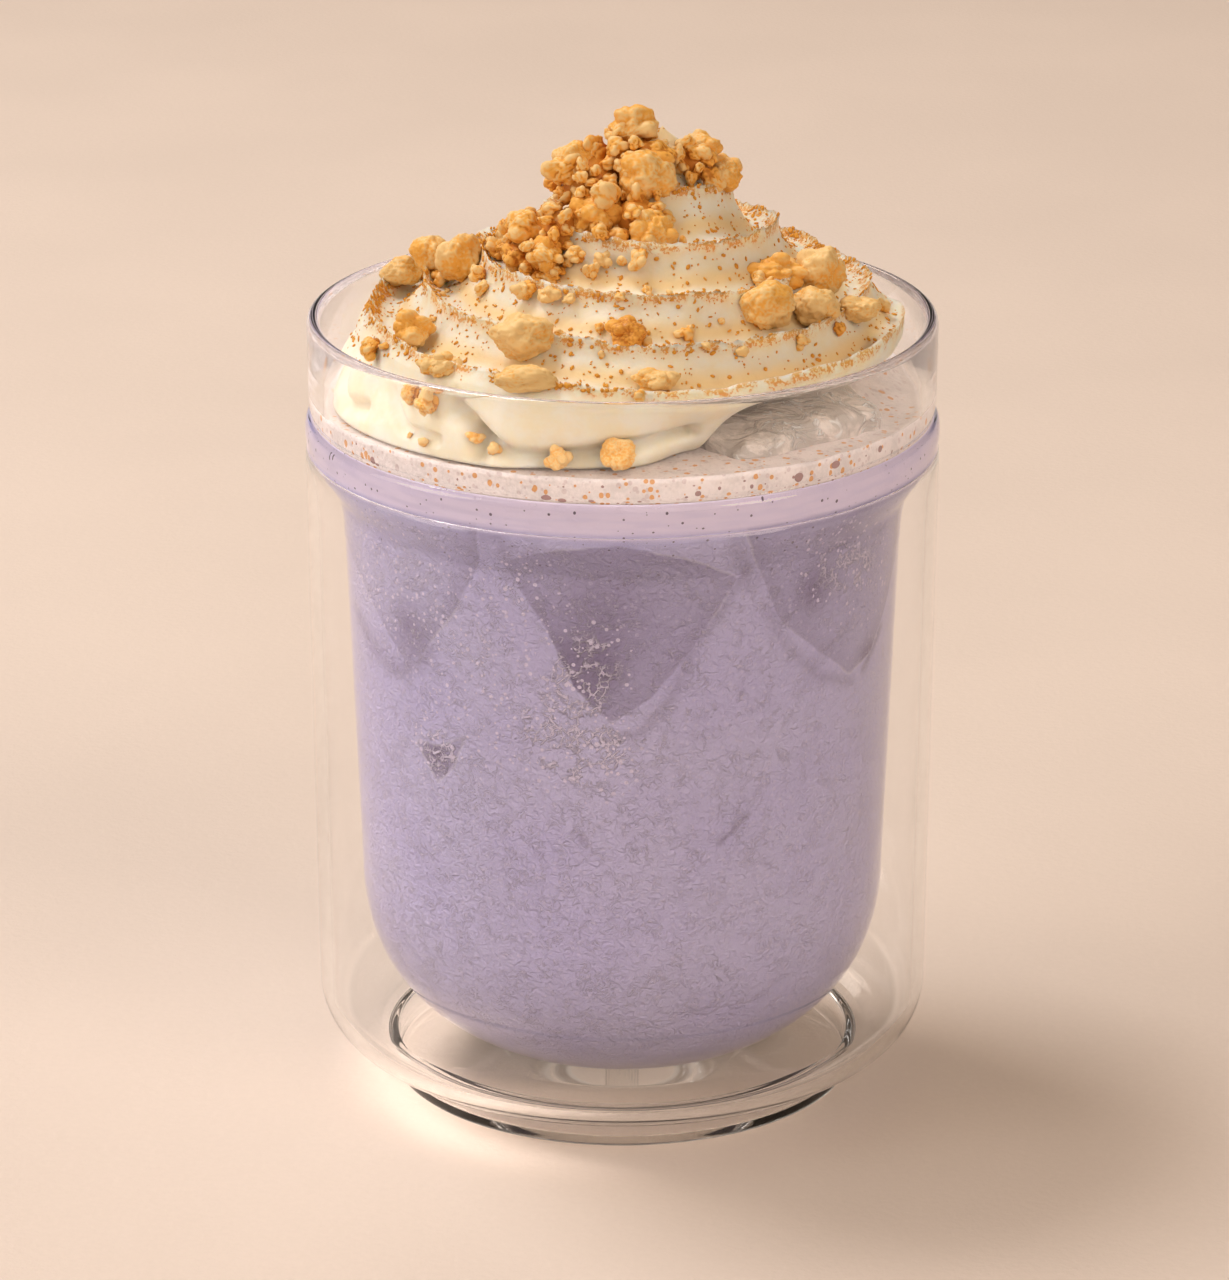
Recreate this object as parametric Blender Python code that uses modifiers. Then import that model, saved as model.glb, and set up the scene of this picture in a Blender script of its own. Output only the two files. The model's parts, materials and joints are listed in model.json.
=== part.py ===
"""A double-walled glass of purple horchata under whipped cream and candied peanut crumble.

Run with: blender --background --python part.py
Metres, +Z up, origin on the table under the middle of the glass.
"""

import math
import random

import bmesh
import bpy
from mathutils import Matrix, Vector
from mathutils.bvhtree import BVHTree
from mathutils.noise import noise

MM = 0.001

# Gaps and roundness
GAP = 0.3 * MM
SIDES = 40

# Glass: outer shell, foot and collar
WALL_RADIUS = 44.0 * MM
WALL_TOP = 84.0 * MM
WALL_TAPER = 0.0087
SHELL = 1.8 * MM
FOOT_RADIUS = 33.2 * MM
FOOT_HEIGHT = 4.7 * MM
FOOT_ROUND = 1.0 * MM
FOOT_FLOOR = 1.7 * MM
CORNER = 9.0 * MM
RIM_HEIGHT = 111.3 * MM
RIM_RADIUS = 43.65 * MM
LIP = 1.9 * MM
GROOVE_RADIUS = 43.2 * MM
GROOVE_HEIGHT = 97.6 * MM
JOIN_HEIGHT = 93.6 * MM
VENT_RADIUS = 2.5 * MM
PLUG_INSET = 0.2 * MM

# Glass: inner cup
CUP_WALL = 1.7 * MM
CUP_TOP = 87.0 * MM
CUP_TOP_RADIUS = 38.9 * MM
CUP_LOW = 33.5 * MM
CUP_LOW_RADIUS = 37.0 * MM
CUP_BOTTOM = 3.4 * MM
BOWL_POWER = 2.4
BOWL_STEPS = 7
COLLAR_LOW = 96.0 * MM
COLLAR_LOW_RADIUS = 41.5 * MM

# Drink
DRINK_TOP = 96.2 * MM
FOAM_TOP = 100.3 * MM

# Whipped cream
CREAM_FOOT = FOAM_TOP + GAP
PEAK = (5.5 * MM, 1.0 * MM)
PEAK_HEIGHT = 137.5 * MM
CONE_SLOPE = 0.83
CONE_FLARE = 4.2
RIDGES = 5.2
RIDGE_START = -0.722
RIDGE_DEPTH = 3.0 * MM
RIDGE_LEAN = 1.3 * MM
RIDGE_ROWS = 5
CREAM_COLUMNS = 36
CREAM_SIDE_TOP = 109.0 * MM
SIDE_SHARES = (0.12, 0.45, 0.75, 1.0)

# Radius of the swirl's edge round the glass: (angle in degrees, radius)
CREAM_EDGE = (
    (0, 39.0 * MM), (60, 37.0 * MM), (105, 35.0 * MM), (145, 35.5 * MM), (190, 36.5 * MM),
    (240, 38.6 * MM), (270, 39.3 * MM), (360, 39.0 * MM),
)

# How far the cream spreads over the foam: (angle in degrees, radius)
CREAM_SPREAD = (
    (0, 32.0 * MM), (35, 36.0 * MM), (90, 35.0 * MM), (150, 39.0 * MM), (190, 40.4 * MM),
    (243, 40.2 * MM), (258, 37.8 * MM), (270, 36.8 * MM), (287, 31.0 * MM), (303, 18.0 * MM),
    (330, 18.0 * MM),
    (350, 27.0 * MM), (360, 32.0 * MM),
)

ICE_SIZE = (25 * MM, 13 * MM, 12 * MM)
ICE_PLACE = (21.5 * MM, -20.5 * MM, 97.8 * MM)
ICE_TURN = (0.12, -0.08, 0.62)

# Candied peanut nuggets, in millimetres: place of the middle, then length, depth and height
NUGGETS = (
    ((3.4, -6.4, 132.4), (8.0, 6.0, 7.0)), ((1.6, -1.2, 138.2), (7.0, 6.0, 5.6)),
    ((-6.6, -3.6, 133.4), (5.6, 5.0, 5.8)), ((10.4, -0.6, 135.2), (6.4, 4.6, 4.2)),
    ((13.8, -1.0, 131.2), (5.2, 4.8, 5.2)), ((-3.6, -9.6, 127.0), (7.2, 5.4, 6.2)),
    ((4.2, -12.6, 126.0), (6.4, 5.0, 6.2)), ((-10.4, -11.8, 122.8), (4.6, 4.4, 5.0)),
    ((-22.6, -0.6, 119.4), (6.6, 6.0, 6.8)), ((-26.4, 4.6, 118.4), (5.8, 5.2, 5.4)),
    ((-31.0, 9.6, 114.4), (6.0, 5.0, 4.4)), ((-28.0, -17.2, 113.6), (6.0, 5.0, 5.6)),
    ((-13.2, -28.6, 116.0), (8.8, 6.4, 6.0)), ((0.4, -27.2, 115.8), (5.6, 5.0, 4.6)),
    ((-24.6, -28.4, 112.2), (4.6, 3.6, 3.2)), ((-12.8, -35.4, 112.4), (8.2, 4.6, 3.6)),
    ((4.3, -34.6, 111.6), (6.4, 4.6, 3.4)), ((19.4, -20.0, 117.8), (7.4, 6.0, 6.4)),
    ((21.0, -10.4, 120.2), (8.6, 6.4, 5.0)), ((27.0, -9.4, 119.6), (6.8, 6.0, 7.2)),
    ((26.0, -15.6, 116.6), (6.6, 5.6, 5.6)), ((32.2, -12.6, 115.4), (5.6, 4.6, 3.6)),
    ((-8.4, -37.8, 102.4), (3.8, 3.6, 3.2)), ((-0.6, -38.4, 103.0), (4.6, 4.2, 4.2)),
)

# Crumble heap on the peak, in millimetres: lumps of its core, each with its radius
HEAP_LUMPS = (
    ((1.0, -2.0, 133.4), 5.0), ((-4.4, -3.0, 130.6), 5.4), ((-3.0, -6.6, 127.2), 4.8),
    ((-8.2, -7.6, 124.6), 4.4), ((-10.4, -10.0, 121.8), 3.6), ((2.0, -8.8, 126.8), 4.2),
    ((-2.4, -11.0, 123.4), 3.8), ((-12.4, -5.4, 122.8), 3.6), ((9.5, -1.5, 132.5), 3.0),
)
GRAIN_RADIUS = 1.7 * MM
GRAIN_SPACING = 3.4 * MM
GRAIN_TRIES = 2600
GRAIN_LIMIT = 34


def clear_scene():
    """Remove every object that the file opened with."""
    for item in list(bpy.data.objects):
        bpy.data.objects.remove(item, do_unlink=True)


def make_collection(name):
    """Return a new collection linked to the scene."""
    group = bpy.data.collections.new(name)
    bpy.context.scene.collection.children.link(group)
    return group


def make_material(name, colour, roughness, metallic=0.0, transmission=0.0):
    """Return a Principled BSDF material."""
    material = bpy.data.materials.new(name)
    material.use_nodes = True
    shader = material.node_tree.nodes["Principled BSDF"]
    shader.inputs["Base Color"].default_value = (*colour, 1.0)
    shader.inputs["Roughness"].default_value = roughness
    shader.inputs["Metallic"].default_value = metallic
    shader.inputs["Transmission Weight"].default_value = transmission
    return material


def make_object(name, mesh, material, group):
    """Put a mesh in the scene as a named object with one material."""
    item = bpy.data.objects.new(name, mesh)
    item.data.materials.append(material)
    group.objects.link(item)
    return item


def mesh_from(bm, name):
    """Turn a bmesh into a mesh with its faces pointing outwards."""
    bmesh.ops.recalc_face_normals(bm, faces=bm.faces)
    mesh = bpy.data.meshes.new(name)
    bm.to_mesh(mesh)
    bm.free()
    return mesh


def arc(centre, radius, start, end, steps):
    """Points of a circular arc in a turned profile, angles in degrees."""
    points = []
    for step in range(steps + 1):
        angle = math.radians(start + (end - start) * step / steps)
        points.append((centre[0] + radius * math.cos(angle), centre[1] + radius * math.sin(angle)))
    return points


def wall_radius(height):
    """Outer radius of the straight, slightly tapering outer wall."""
    return WALL_RADIUS - WALL_TAPER * (WALL_TOP - height)


def bowl(radius, bottom, steps):
    """Deep rounded bowl from its middle up to the straight cup wall."""
    points = []
    for step in range(steps + 1):
        angle = math.pi / 2 * step / steps
        power = 2 / BOWL_POWER
        out = radius * math.sin(angle) ** power
        up = bottom + (CUP_LOW - bottom) * (1 - math.cos(angle) ** power)
        points.append((out, up))
    return points


def cup_inside(inset=0.0):
    """Inner face of the cup from its bottom to the foot of the collar."""
    points = bowl(CUP_LOW_RADIUS - CUP_WALL - inset, CUP_BOTTOM + CUP_WALL + inset, BOWL_STEPS)
    points.append((CUP_TOP_RADIUS - CUP_WALL - inset, CUP_TOP - CUP_WALL))
    points.append((COLLAR_LOW_RADIUS - inset, COLLAR_LOW))
    return points


def glass_profile():
    """Section of the glass, from the middle of the bowl over the rim and round the air space."""
    inside = cup_inside()
    lip_centre = (RIM_RADIUS - LIP / 2, RIM_HEIGHT - LIP / 2)
    lip = arc(lip_centre, LIP / 2, 180, 0, 5)
    shoulder_radius = wall_radius(JOIN_HEIGHT)
    shoulder = [
        (GROOVE_RADIUS + 0.15 * MM, GROOVE_HEIGHT + 1.1 * MM),
        (GROOVE_RADIUS, GROOVE_HEIGHT),
        (GROOVE_RADIUS + 0.45 * MM, GROOVE_HEIGHT - 1.0 * MM),
        (shoulder_radius - 0.08 * MM, GROOVE_HEIGHT - 2.1 * MM),
        (shoulder_radius, JOIN_HEIGHT),
    ]
    low_radius = wall_radius(FOOT_HEIGHT)
    corner_centre = (low_radius - CORNER, FOOT_HEIGHT + CORNER)
    corner = arc(corner_centre, CORNER, 0, -90, 5)
    foot = [
        (FOOT_RADIUS, FOOT_HEIGHT),
        (FOOT_RADIUS, FOOT_ROUND),
        (FOOT_RADIUS - 0.3 * FOOT_ROUND, 0.3 * FOOT_ROUND),
        (FOOT_RADIUS - FOOT_ROUND, 0.0),
        (VENT_RADIUS, 0.0),
    ]
    foot_inside = FOOT_RADIUS - SHELL
    space_out = [
        (VENT_RADIUS, FOOT_FLOOR),
        (foot_inside - FOOT_ROUND, FOOT_FLOOR),
        (foot_inside, FOOT_FLOOR + FOOT_ROUND),
        (foot_inside, FOOT_HEIGHT + SHELL),
    ]
    corner_in = arc(corner_centre, CORNER - SHELL, -90, 0, 5)
    space_top = [
        (shoulder_radius - SHELL - 0.2 * MM, JOIN_HEIGHT - 1.5 * MM),
        (shoulder_radius - SHELL - 0.7 * MM, JOIN_HEIGHT - 0.8 * MM),
        (CUP_TOP_RADIUS, CUP_TOP),
    ]
    cup_bowl = list(reversed(bowl(CUP_LOW_RADIUS, CUP_BOTTOM, BOWL_STEPS)))
    return inside + lip + shoulder + corner + foot + space_out + corner_in + space_top + cup_bowl


def turned(name, profile, material, group, sides=SIDES):
    """Turn a profile that starts and ends on the axis into a closed solid."""
    mesh = bpy.data.meshes.new(name)
    edges = [(step, step + 1) for step in range(len(profile) - 1)]
    mesh.from_pydata([(out, 0.0, up) for out, up in profile], edges, [])
    item = make_object(name, mesh, material, group)
    screw = item.modifiers.new("Turn", "SCREW")
    screw.steps = sides
    screw.render_steps = sides
    screw.use_merge_vertices = True
    screw.merge_threshold = 0.00001
    screw.use_smooth_shade = True
    return item


def applied(item):
    """Return the object's evaluated mesh as a mesh of its own."""
    graph = bpy.context.evaluated_depsgraph_get()
    return bpy.data.meshes.new_from_object(item.evaluated_get(graph))


def freeze(item):
    """Apply an object's modifiers and its transform."""
    mesh = applied(item)
    mesh.transform(item.matrix_basis)
    item.modifiers.clear()
    item.data = mesh
    item.matrix_basis = Matrix.Identity(4)
    return item


def largest_body(item):
    """Keep only the largest body of an object's mesh, going from face to face over their edges."""
    bm = bmesh.new()
    bm.from_mesh(item.data)
    bmesh.ops.dissolve_degenerate(bm, edges=bm.edges, dist=0.0000005)
    left = set(bm.faces)
    bodies = []
    while left:
        body = [left.pop()]
        for face in body:
            for edge in face.edges:
                found = [other for other in edge.link_faces if other in left]
                left.difference_update(found)
                body.extend(found)
        bodies.append(body)
    bodies.sort(key=len, reverse=True)
    scraps = [face for body in bodies[1:] for face in body]
    bmesh.ops.delete(bm, geom=scraps, context="FACES")
    bm.to_mesh(item.data)
    bm.free()


def combine(item, others, operation, solver="EXACT"):
    """Cut an object with others, or join them to it, and apply the result."""
    helpers = bpy.data.collections.new("helpers")
    bpy.context.scene.collection.children.link(helpers)
    for other in others:
        helpers.objects.link(other)
    boolean = item.modifiers.new("Combine", "BOOLEAN")
    boolean.operation = operation
    boolean.operand_type = "COLLECTION"
    boolean.collection = helpers
    boolean.solver = solver
    bpy.context.view_layer.update()
    freeze(item)
    largest_body(item)
    for other in list(helpers.objects):
        bpy.data.objects.remove(other, do_unlink=True)
    bpy.data.collections.remove(helpers)


def swollen(item, margin):
    """Return a copy of an object grown outwards by a margin, for cutting others clear of it."""
    mesh = item.data.copy()
    bm = bmesh.new()
    bm.from_mesh(mesh)
    bm.normal_update()
    steps = [vert.normal * margin * min(vert.calc_shell_factor(), 2.0) for vert in bm.verts]
    for vert, step in zip(bm.verts, steps):
        vert.co += step
    bm.to_mesh(mesh)
    bm.free()
    copy = bpy.data.objects.new(item.name + "_cutter", mesh)
    copy.display_type = "WIRE"
    copy.hide_render = True
    return copy


def smooth_table(table, angle):
    """Read a periodic table of (degrees, value) with eased steps between its entries."""
    angle = angle % 360
    for (start, low), (end, high) in zip(table, table[1:]):
        if start <= angle <= end:
            part = (angle - start) / (end - start)
            part = part * part * (3 - 2 * part)
            return low + (high - low) * part
    return table[-1][1]


def reach(turn, limit):
    """Distance from the swirl's middle to the circle of radius limit round the glass's axis."""
    angle = math.tau * turn
    along = PEAK[0] * math.cos(angle) + PEAK[1] * math.sin(angle)
    return -along + math.sqrt(along ** 2 + limit ** 2 - PEAK[0] ** 2 - PEAK[1] ** 2)


def wander(angle):
    """How far the ridges wander off an even spiral, in ridges."""
    return 0.10 * math.sin(2 * angle + 0.7) + 0.07 * math.sin(3 * angle - 1.1)


def swirl_point(turn, share):
    """Point of the swirl's top: turn round the peak, share of the way from peak to edge."""
    angle = math.tau * turn
    edge = reach(turn, smooth_table(CREAM_EDGE, math.degrees(angle)))
    out = share * edge
    scaled = share * 41 * MM
    height = PEAK_HEIGHT - CONE_SLOPE * scaled + CONE_FLARE * scaled ** 2
    height += 3.2 * MM * share ** 2 * math.sqrt(0.5 + 0.5 * math.sin(angle))
    phase = RIDGES * share - turn - RIDGE_START - wander(angle)
    inward = (-phase) % 1.0
    swell = (1 + 0.25 * math.sin(3 * angle + 5 * share)) * min(1.0, share / 0.2)
    height -= RIDGE_DEPTH * swell * math.sin(math.pi * inward ** 0.62)
    near = min(inward, 1 - inward)
    fade = min(1.0, share / 0.3) * min(1.0, (1.0 - share) / 0.1)
    out += RIDGE_LEAN * fade * max(0.0, 1 - near / 0.3) ** 2
    return Vector((PEAK[0] + out * math.cos(angle), PEAK[1] + out * math.sin(angle), height))


def cream_side(angle, share):
    """Point on the cream's side below its edge, from share 0 at the edge to 1 at the foot."""
    foot = smooth_table(CREAM_SPREAD, math.degrees(angle))
    edge = smooth_table(CREAM_EDGE, math.degrees(angle))
    bulge = 2.0 if foot > edge else 0.8
    out = foot + (edge - foot) * (1 - share) ** bulge
    height = CREAM_SIDE_TOP + (CREAM_FOOT - CREAM_SIDE_TOP) * share
    return Vector((out * math.cos(angle), out * math.sin(angle), height))


def swirl_grid(columns, rows_per_ridge):
    """Grid wound round the peak, so that one of its lines follows the swirl's crest."""
    rows = math.ceil(rows_per_ridge * (1 + RIDGES - RIDGE_START)) + 1
    bm = bmesh.new()
    bmesh.ops.create_grid(bm, x_segments=columns, y_segments=rows, size=0.5)
    for vert in bm.verts:
        turn = round((vert.co.x + 0.5) * columns) / columns
        row = round((vert.co.y + 0.5) * rows)
        start = RIDGE_START + turn + wander(math.tau * turn)
        share = ((row - rows_per_ridge) / rows_per_ridge + start) / RIDGES
        vert.co = swirl_point(turn, min(max(share, 0.0), 1.0))
    bmesh.ops.remove_doubles(bm, verts=bm.verts, dist=0.00001)
    bmesh.ops.dissolve_degenerate(bm, edges=bm.edges, dist=0.00001)
    return bm


def make_cream(material, group):
    """Piped swirl of whipped cream with its foot flat on the foam."""
    bm = swirl_grid(CREAM_COLUMNS, RIDGE_ROWS)
    for share in SIDE_SHARES:
        border = [edge for edge in bm.edges if edge.is_boundary]
        grown = bmesh.ops.extrude_edge_only(bm, edges=border)
        for vert in grown["geom"]:
            if isinstance(vert, bmesh.types.BMVert):
                vert.co = cream_side(math.atan2(vert.co.y, vert.co.x), share)
    border = [edge for edge in bm.edges if edge.is_boundary]
    bmesh.ops.contextual_create(bm, geom=border)
    bmesh.ops.triangulate(bm, faces=bm.faces)
    item = make_object("whipped_cream", mesh_from(bm, "whipped_cream"), material, group)
    item.data.shade_smooth()
    return item


def make_ice(material, group):
    """Rounded, half-melted ice cube that breaks the drink's surface."""
    bm = bmesh.new()
    bmesh.ops.create_cube(bm, size=1.0)
    bmesh.ops.bevel(bm, geom=bm.edges, offset=0.16, segments=2, profile=0.5, affect="EDGES")
    bmesh.ops.scale(bm, vec=ICE_SIZE, verts=bm.verts)
    for axis, angle in zip("XYZ", ICE_TURN):
        bmesh.ops.rotate(bm, matrix=Matrix.Rotation(angle, 3, axis), verts=bm.verts)
    bmesh.ops.translate(bm, vec=ICE_PLACE, verts=bm.verts)
    item = make_object("ice_cube", mesh_from(bm, "ice_cube"), material, group)
    return item


def broken_lump(seed, sides):
    """Unit lump with a few broken flats, from an icosphere."""
    draw = random.Random(seed)
    bm = bmesh.new()
    bmesh.ops.create_icosphere(bm, subdivisions=sides, radius=0.5)
    flats = []
    for _ in range(7):
        way = Vector((draw.gauss(0, 1), draw.gauss(0, 1), draw.gauss(0, 1))).normalized()
        flats.append((way, draw.uniform(0.30, 0.44)))
    for vert in bm.verts:
        grown = vert.co * (1.12 + 0.25 * noise(vert.co * 3.0 + Vector((seed, 0, 0))))
        for way, far in flats:
            over = grown.dot(way)
            if over > far:
                grown *= far / over
        vert.co = grown
    return bm, draw


def make_lump(name, place, size, seed, sides, material, group):
    """One broken piece of candied nut."""
    bm, draw = broken_lump(seed, sides)
    low = [min(vert.co[axis] for vert in bm.verts) for axis in range(3)]
    high = [max(vert.co[axis] for vert in bm.verts) for axis in range(3)]
    for vert in bm.verts:
        share = [(vert.co[axis] - low[axis]) / (high[axis] - low[axis]) - 0.5 for axis in range(3)]
        vert.co = Vector([share[axis] * size[axis] for axis in range(3)])
    bmesh.ops.rotate(bm, matrix=Matrix.Rotation(draw.uniform(-0.3, 0.3), 3, "Z"), verts=bm.verts)
    bmesh.ops.translate(bm, vec=place, verts=bm.verts)
    return make_object(name, mesh_from(bm, name), material, group)


def make_nuggets(obstacles, material, group):
    """Every large piece of candied nut, each cut clear of what it lies in."""
    made = []
    for number, (place, size) in enumerate(NUGGETS, 1):
        name = f"nugget_{number:02d}"
        item = make_lump(name, Vector(place) * MM, Vector(size) * MM, number, 2, material, group)
        near = [other for other in made if (middle(other) - Vector(place) * MM).length < 10 * MM]
        combine(item, [swollen(other, GAP) for other in obstacles + near], "DIFFERENCE")
        made.append(item)
    return made


def middle(item):
    """Middle of an object's box."""
    corners = [Vector(corner) for corner in item.bound_box]
    return sum(corners, Vector()) / len(corners)


def make_heap(cream, nuggets, material, group):
    """Heap of fine crumble over the front of the peak: a core with grains fused on."""
    draw = random.Random(12)
    core = None
    lumps = []
    for number, (place, radius) in enumerate(HEAP_LUMPS):
        bm = bmesh.new()
        bmesh.ops.create_icosphere(bm, subdivisions=2, radius=radius * MM)
        bmesh.ops.translate(bm, vec=Vector(place) * MM, verts=bm.verts)
        mesh = mesh_from(bm, f"lump_{number}")
        if core is None:
            core = make_object("crumble_heap", mesh, material, group)
        else:
            lumps.append(bpy.data.objects.new(f"lump_{number}", mesh))
    combine(core, lumps, "UNION", "MANIFOLD")
    skin = BVHTree.FromObject(core, bpy.context.evaluated_depsgraph_get())
    under = BVHTree.FromObject(cream, bpy.context.evaluated_depsgraph_get())
    places = []
    for _ in range(GRAIN_TRIES):
        if len(places) >= GRAIN_LIMIT:
            break
        lump, radius = draw.choice(HEAP_LUMPS)
        way = Vector((draw.gauss(0, 1), draw.gauss(-0.4, 1), draw.gauss(0.3, 1))).normalized()
        hit, normal, _, _ = skin.ray_cast(Vector(lump) * MM + way * 20 * MM, -way)
        if hit is None:
            continue
        nearest, outward, _, far = under.find_nearest(hit)
        if (hit - nearest).dot(outward) < 0.4 * MM or far > 9 * MM:
            continue
        if all((hit - other).length > GRAIN_SPACING for other in places):
            places.append(hit)
    grains = []
    for number, place in enumerate(places):
        size = [2 * GRAIN_RADIUS * draw.uniform(0.75, 1.25) for _ in range(3)]
        grain = make_lump(f"grain_{number}", place, size, 500 + number, 1, material, group)
        group.objects.unlink(grain)
        grains.append(grain)
    combine(core, grains, "UNION", "MANIFOLD")
    near = [item for item in nuggets if (middle(item) - middle(core)).length < 22 * MM]
    combine(core, [swollen(item, GAP) for item in [cream] + near], "DIFFERENCE", "MANIFOLD")
    return core


def main():
    """Build every piece of the drink."""
    clear_scene()
    group = make_collection("glass_of_horchata")
    glass = make_material("clear_glass", (0.95, 0.95, 0.95), 0.02, transmission=1.0)
    silicone = make_material("clear_silicone", (0.85, 0.85, 0.85), 0.4)
    drink = make_material("horchata", (0.42, 0.34, 0.47), 0.3)
    froth = make_material("foam", (0.72, 0.56, 0.55), 0.6)
    ice = make_material("ice", (0.6, 0.5, 0.52), 0.1)
    cream = make_material("whipped_cream", (0.94, 0.87, 0.74), 0.45)

    turned("glass", glass_profile(), glass, group)
    plug_radius = VENT_RADIUS - GAP
    plug = [(0.0, FOOT_FLOOR), (plug_radius, FOOT_FLOOR), (plug_radius, PLUG_INSET), (0.0, PLUG_INSET)]
    turned("vent_plug", plug, silicone, group, sides=20)

    drink_line = cup_inside(GAP)
    drink_line.append((COLLAR_LOW_RADIUS - GAP, DRINK_TOP))
    drink_line.append((0.0, DRINK_TOP))
    horchata = freeze(turned("horchata", list(reversed(drink_line)), drink, group))
    foam_radius = COLLAR_LOW_RADIUS - GAP
    foam_line = [(0.0, FOAM_TOP), (foam_radius, FOAM_TOP), (foam_radius, DRINK_TOP + GAP),
                 (0.0, DRINK_TOP + GAP)]
    foam = freeze(turned("foam", foam_line, froth, group))
    ice_cube = make_ice(ice, group)
    combine(horchata, [swollen(ice_cube, GAP)], "DIFFERENCE")
    combine(foam, [swollen(ice_cube, GAP)], "DIFFERENCE")
    whipped = make_cream(cream, group)
    combine(whipped, [swollen(ice_cube, GAP)], "DIFFERENCE")
    nut = make_material("candied_peanut", (0.72, 0.40, 0.14), 0.4)
    nuggets = make_nuggets([whipped], nut, group)
    make_heap(whipped, nuggets, nut, group)


main()
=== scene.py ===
"""Looks for a double-walled glass of purple horchata under whipped cream and candied peanuts."""

import json
import math
import random

import bmesh
import bpy
from mathutils import Matrix, Vector
from mathutils.bvhtree import BVHTree
from mathutils.noise import fractal, noise

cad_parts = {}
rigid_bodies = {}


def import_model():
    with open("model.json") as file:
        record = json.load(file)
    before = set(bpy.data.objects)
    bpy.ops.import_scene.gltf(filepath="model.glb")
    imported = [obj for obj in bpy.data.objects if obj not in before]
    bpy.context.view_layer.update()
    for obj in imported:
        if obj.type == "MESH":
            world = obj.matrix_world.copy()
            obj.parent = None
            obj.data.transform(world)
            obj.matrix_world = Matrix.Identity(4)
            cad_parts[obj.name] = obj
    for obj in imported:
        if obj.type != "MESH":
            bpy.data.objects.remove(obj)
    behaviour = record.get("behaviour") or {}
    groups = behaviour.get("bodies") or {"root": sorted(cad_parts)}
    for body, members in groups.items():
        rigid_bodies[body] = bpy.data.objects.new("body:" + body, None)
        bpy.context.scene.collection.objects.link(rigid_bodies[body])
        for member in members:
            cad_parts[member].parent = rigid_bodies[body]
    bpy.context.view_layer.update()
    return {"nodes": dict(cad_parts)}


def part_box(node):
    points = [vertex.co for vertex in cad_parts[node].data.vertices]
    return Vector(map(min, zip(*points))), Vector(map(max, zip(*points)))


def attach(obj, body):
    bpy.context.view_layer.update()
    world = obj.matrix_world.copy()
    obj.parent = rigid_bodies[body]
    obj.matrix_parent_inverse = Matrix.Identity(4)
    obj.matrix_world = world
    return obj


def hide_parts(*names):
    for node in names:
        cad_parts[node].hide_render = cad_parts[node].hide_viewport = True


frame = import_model()

bl_info = {
    "name": "Glass of Horchata",
    "version": (1, 0, 0),
    "blender": (4, 5, 0),
    "location": "3D View > Sidebar > Horchata",
    "description": "Builds a double-walled glass of horchata with whipped cream and candied peanuts",
    "category": "Object",
}

MM = 0.001
BODY = "root"

# Shares of x, y and z in the number that pieces are sorted by
ORDER_SHARES = (0.3141592653, 0.5772156649, 0.7615941559)

# Radii in millimetres at which angles on the drink's and the cream's side are turned into lengths
DRINK_FACE = 38
CREAM_FACE = 40

# Height above every piece, from which crumbs and dust are dropped
ABOVE = 160 * MM
DOWN = Vector((0, 0, -1))

# Glass: outer shell, foot and collar
WALL_RADIUS = 44.0 * MM
WALL_TOP = 84.0 * MM
WALL_TAPER = 0.0087
SHELL = 1.8 * MM
FOOT_RADIUS = 33.2 * MM
FOOT_HEIGHT = 4.7 * MM
FOOT_ROUND = 1.0 * MM
FOOT_FLOOR = 1.2 * MM
FOOT_SHELL = 1.1 * MM
CORNER = 9.0 * MM
RIM_HEIGHT = 111.3 * MM
RIM_RADIUS = 43.65 * MM
LIP = 1.9 * MM
GROOVE_RADIUS = 43.2 * MM
GROOVE_HEIGHT = 97.6 * MM
JOIN_HEIGHT = 93.6 * MM
VENT_RADIUS = 2.5 * MM

# Glass: inner cup
CUP_WALL = 1.7 * MM
CUP_TOP = 87.0 * MM
CUP_TOP_RADIUS = 38.9 * MM
CUP_LOW = 33.5 * MM
CUP_LOW_RADIUS = 37.0 * MM
CUP_BOTTOM = 3.4 * MM
BOWL_POWER = 2.4
BOWL_STEPS = 28
COLLAR_LOW = 96.0 * MM
COLLAR_LOW_RADIUS = 41.5 * MM
GLASS_SIDES = 160

# Drink and foam
INTO_WALL = 0.12 * MM
FOAM_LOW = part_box("foam")[0].z
FOAM_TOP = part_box("foam")[1].z
DRINK_SIDES = 288
DRINK_ROW = 0.45 * MM
FOAM_SIDES = 240
FOAM_ROWS = 8
FOAM_RINGS = 70
FOAM_CLIMB = 0.35 * MM
FOAM_RIPPLE = 0.22 * MM

# Whipped cream
CREAM_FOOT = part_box("whipped_cream")[0].z
PEAK = (5.5 * MM, 1.0 * MM)
PEAK_HEIGHT = 137.5 * MM
CONE_SLOPE = 0.83
CONE_FLARE = 4.2
CONE_REACH = 41 * MM
BACK_LIFT = 3.2 * MM
RIDGES = 5.2
RIDGE_START = -0.722
RIDGE_DEPTH = 3.0 * MM
RIDGE_LEAN = 1.3 * MM
RIDGE_ROWS = 20
CREAM_COLUMNS = 420
CREAM_SIDE_TOP = 109.0 * MM
SIDE_ROWS = 22
SIDE_CREST = 0.5

# Radius of the swirl's edge round the glass: (angle in degrees, radius)
CREAM_EDGE = (
    (0, 39.0 * MM), (60, 37.0 * MM), (105, 35.0 * MM), (145, 35.5 * MM), (190, 36.5 * MM),
    (240, 38.6 * MM), (270, 39.3 * MM), (360, 39.0 * MM),
)

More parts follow.
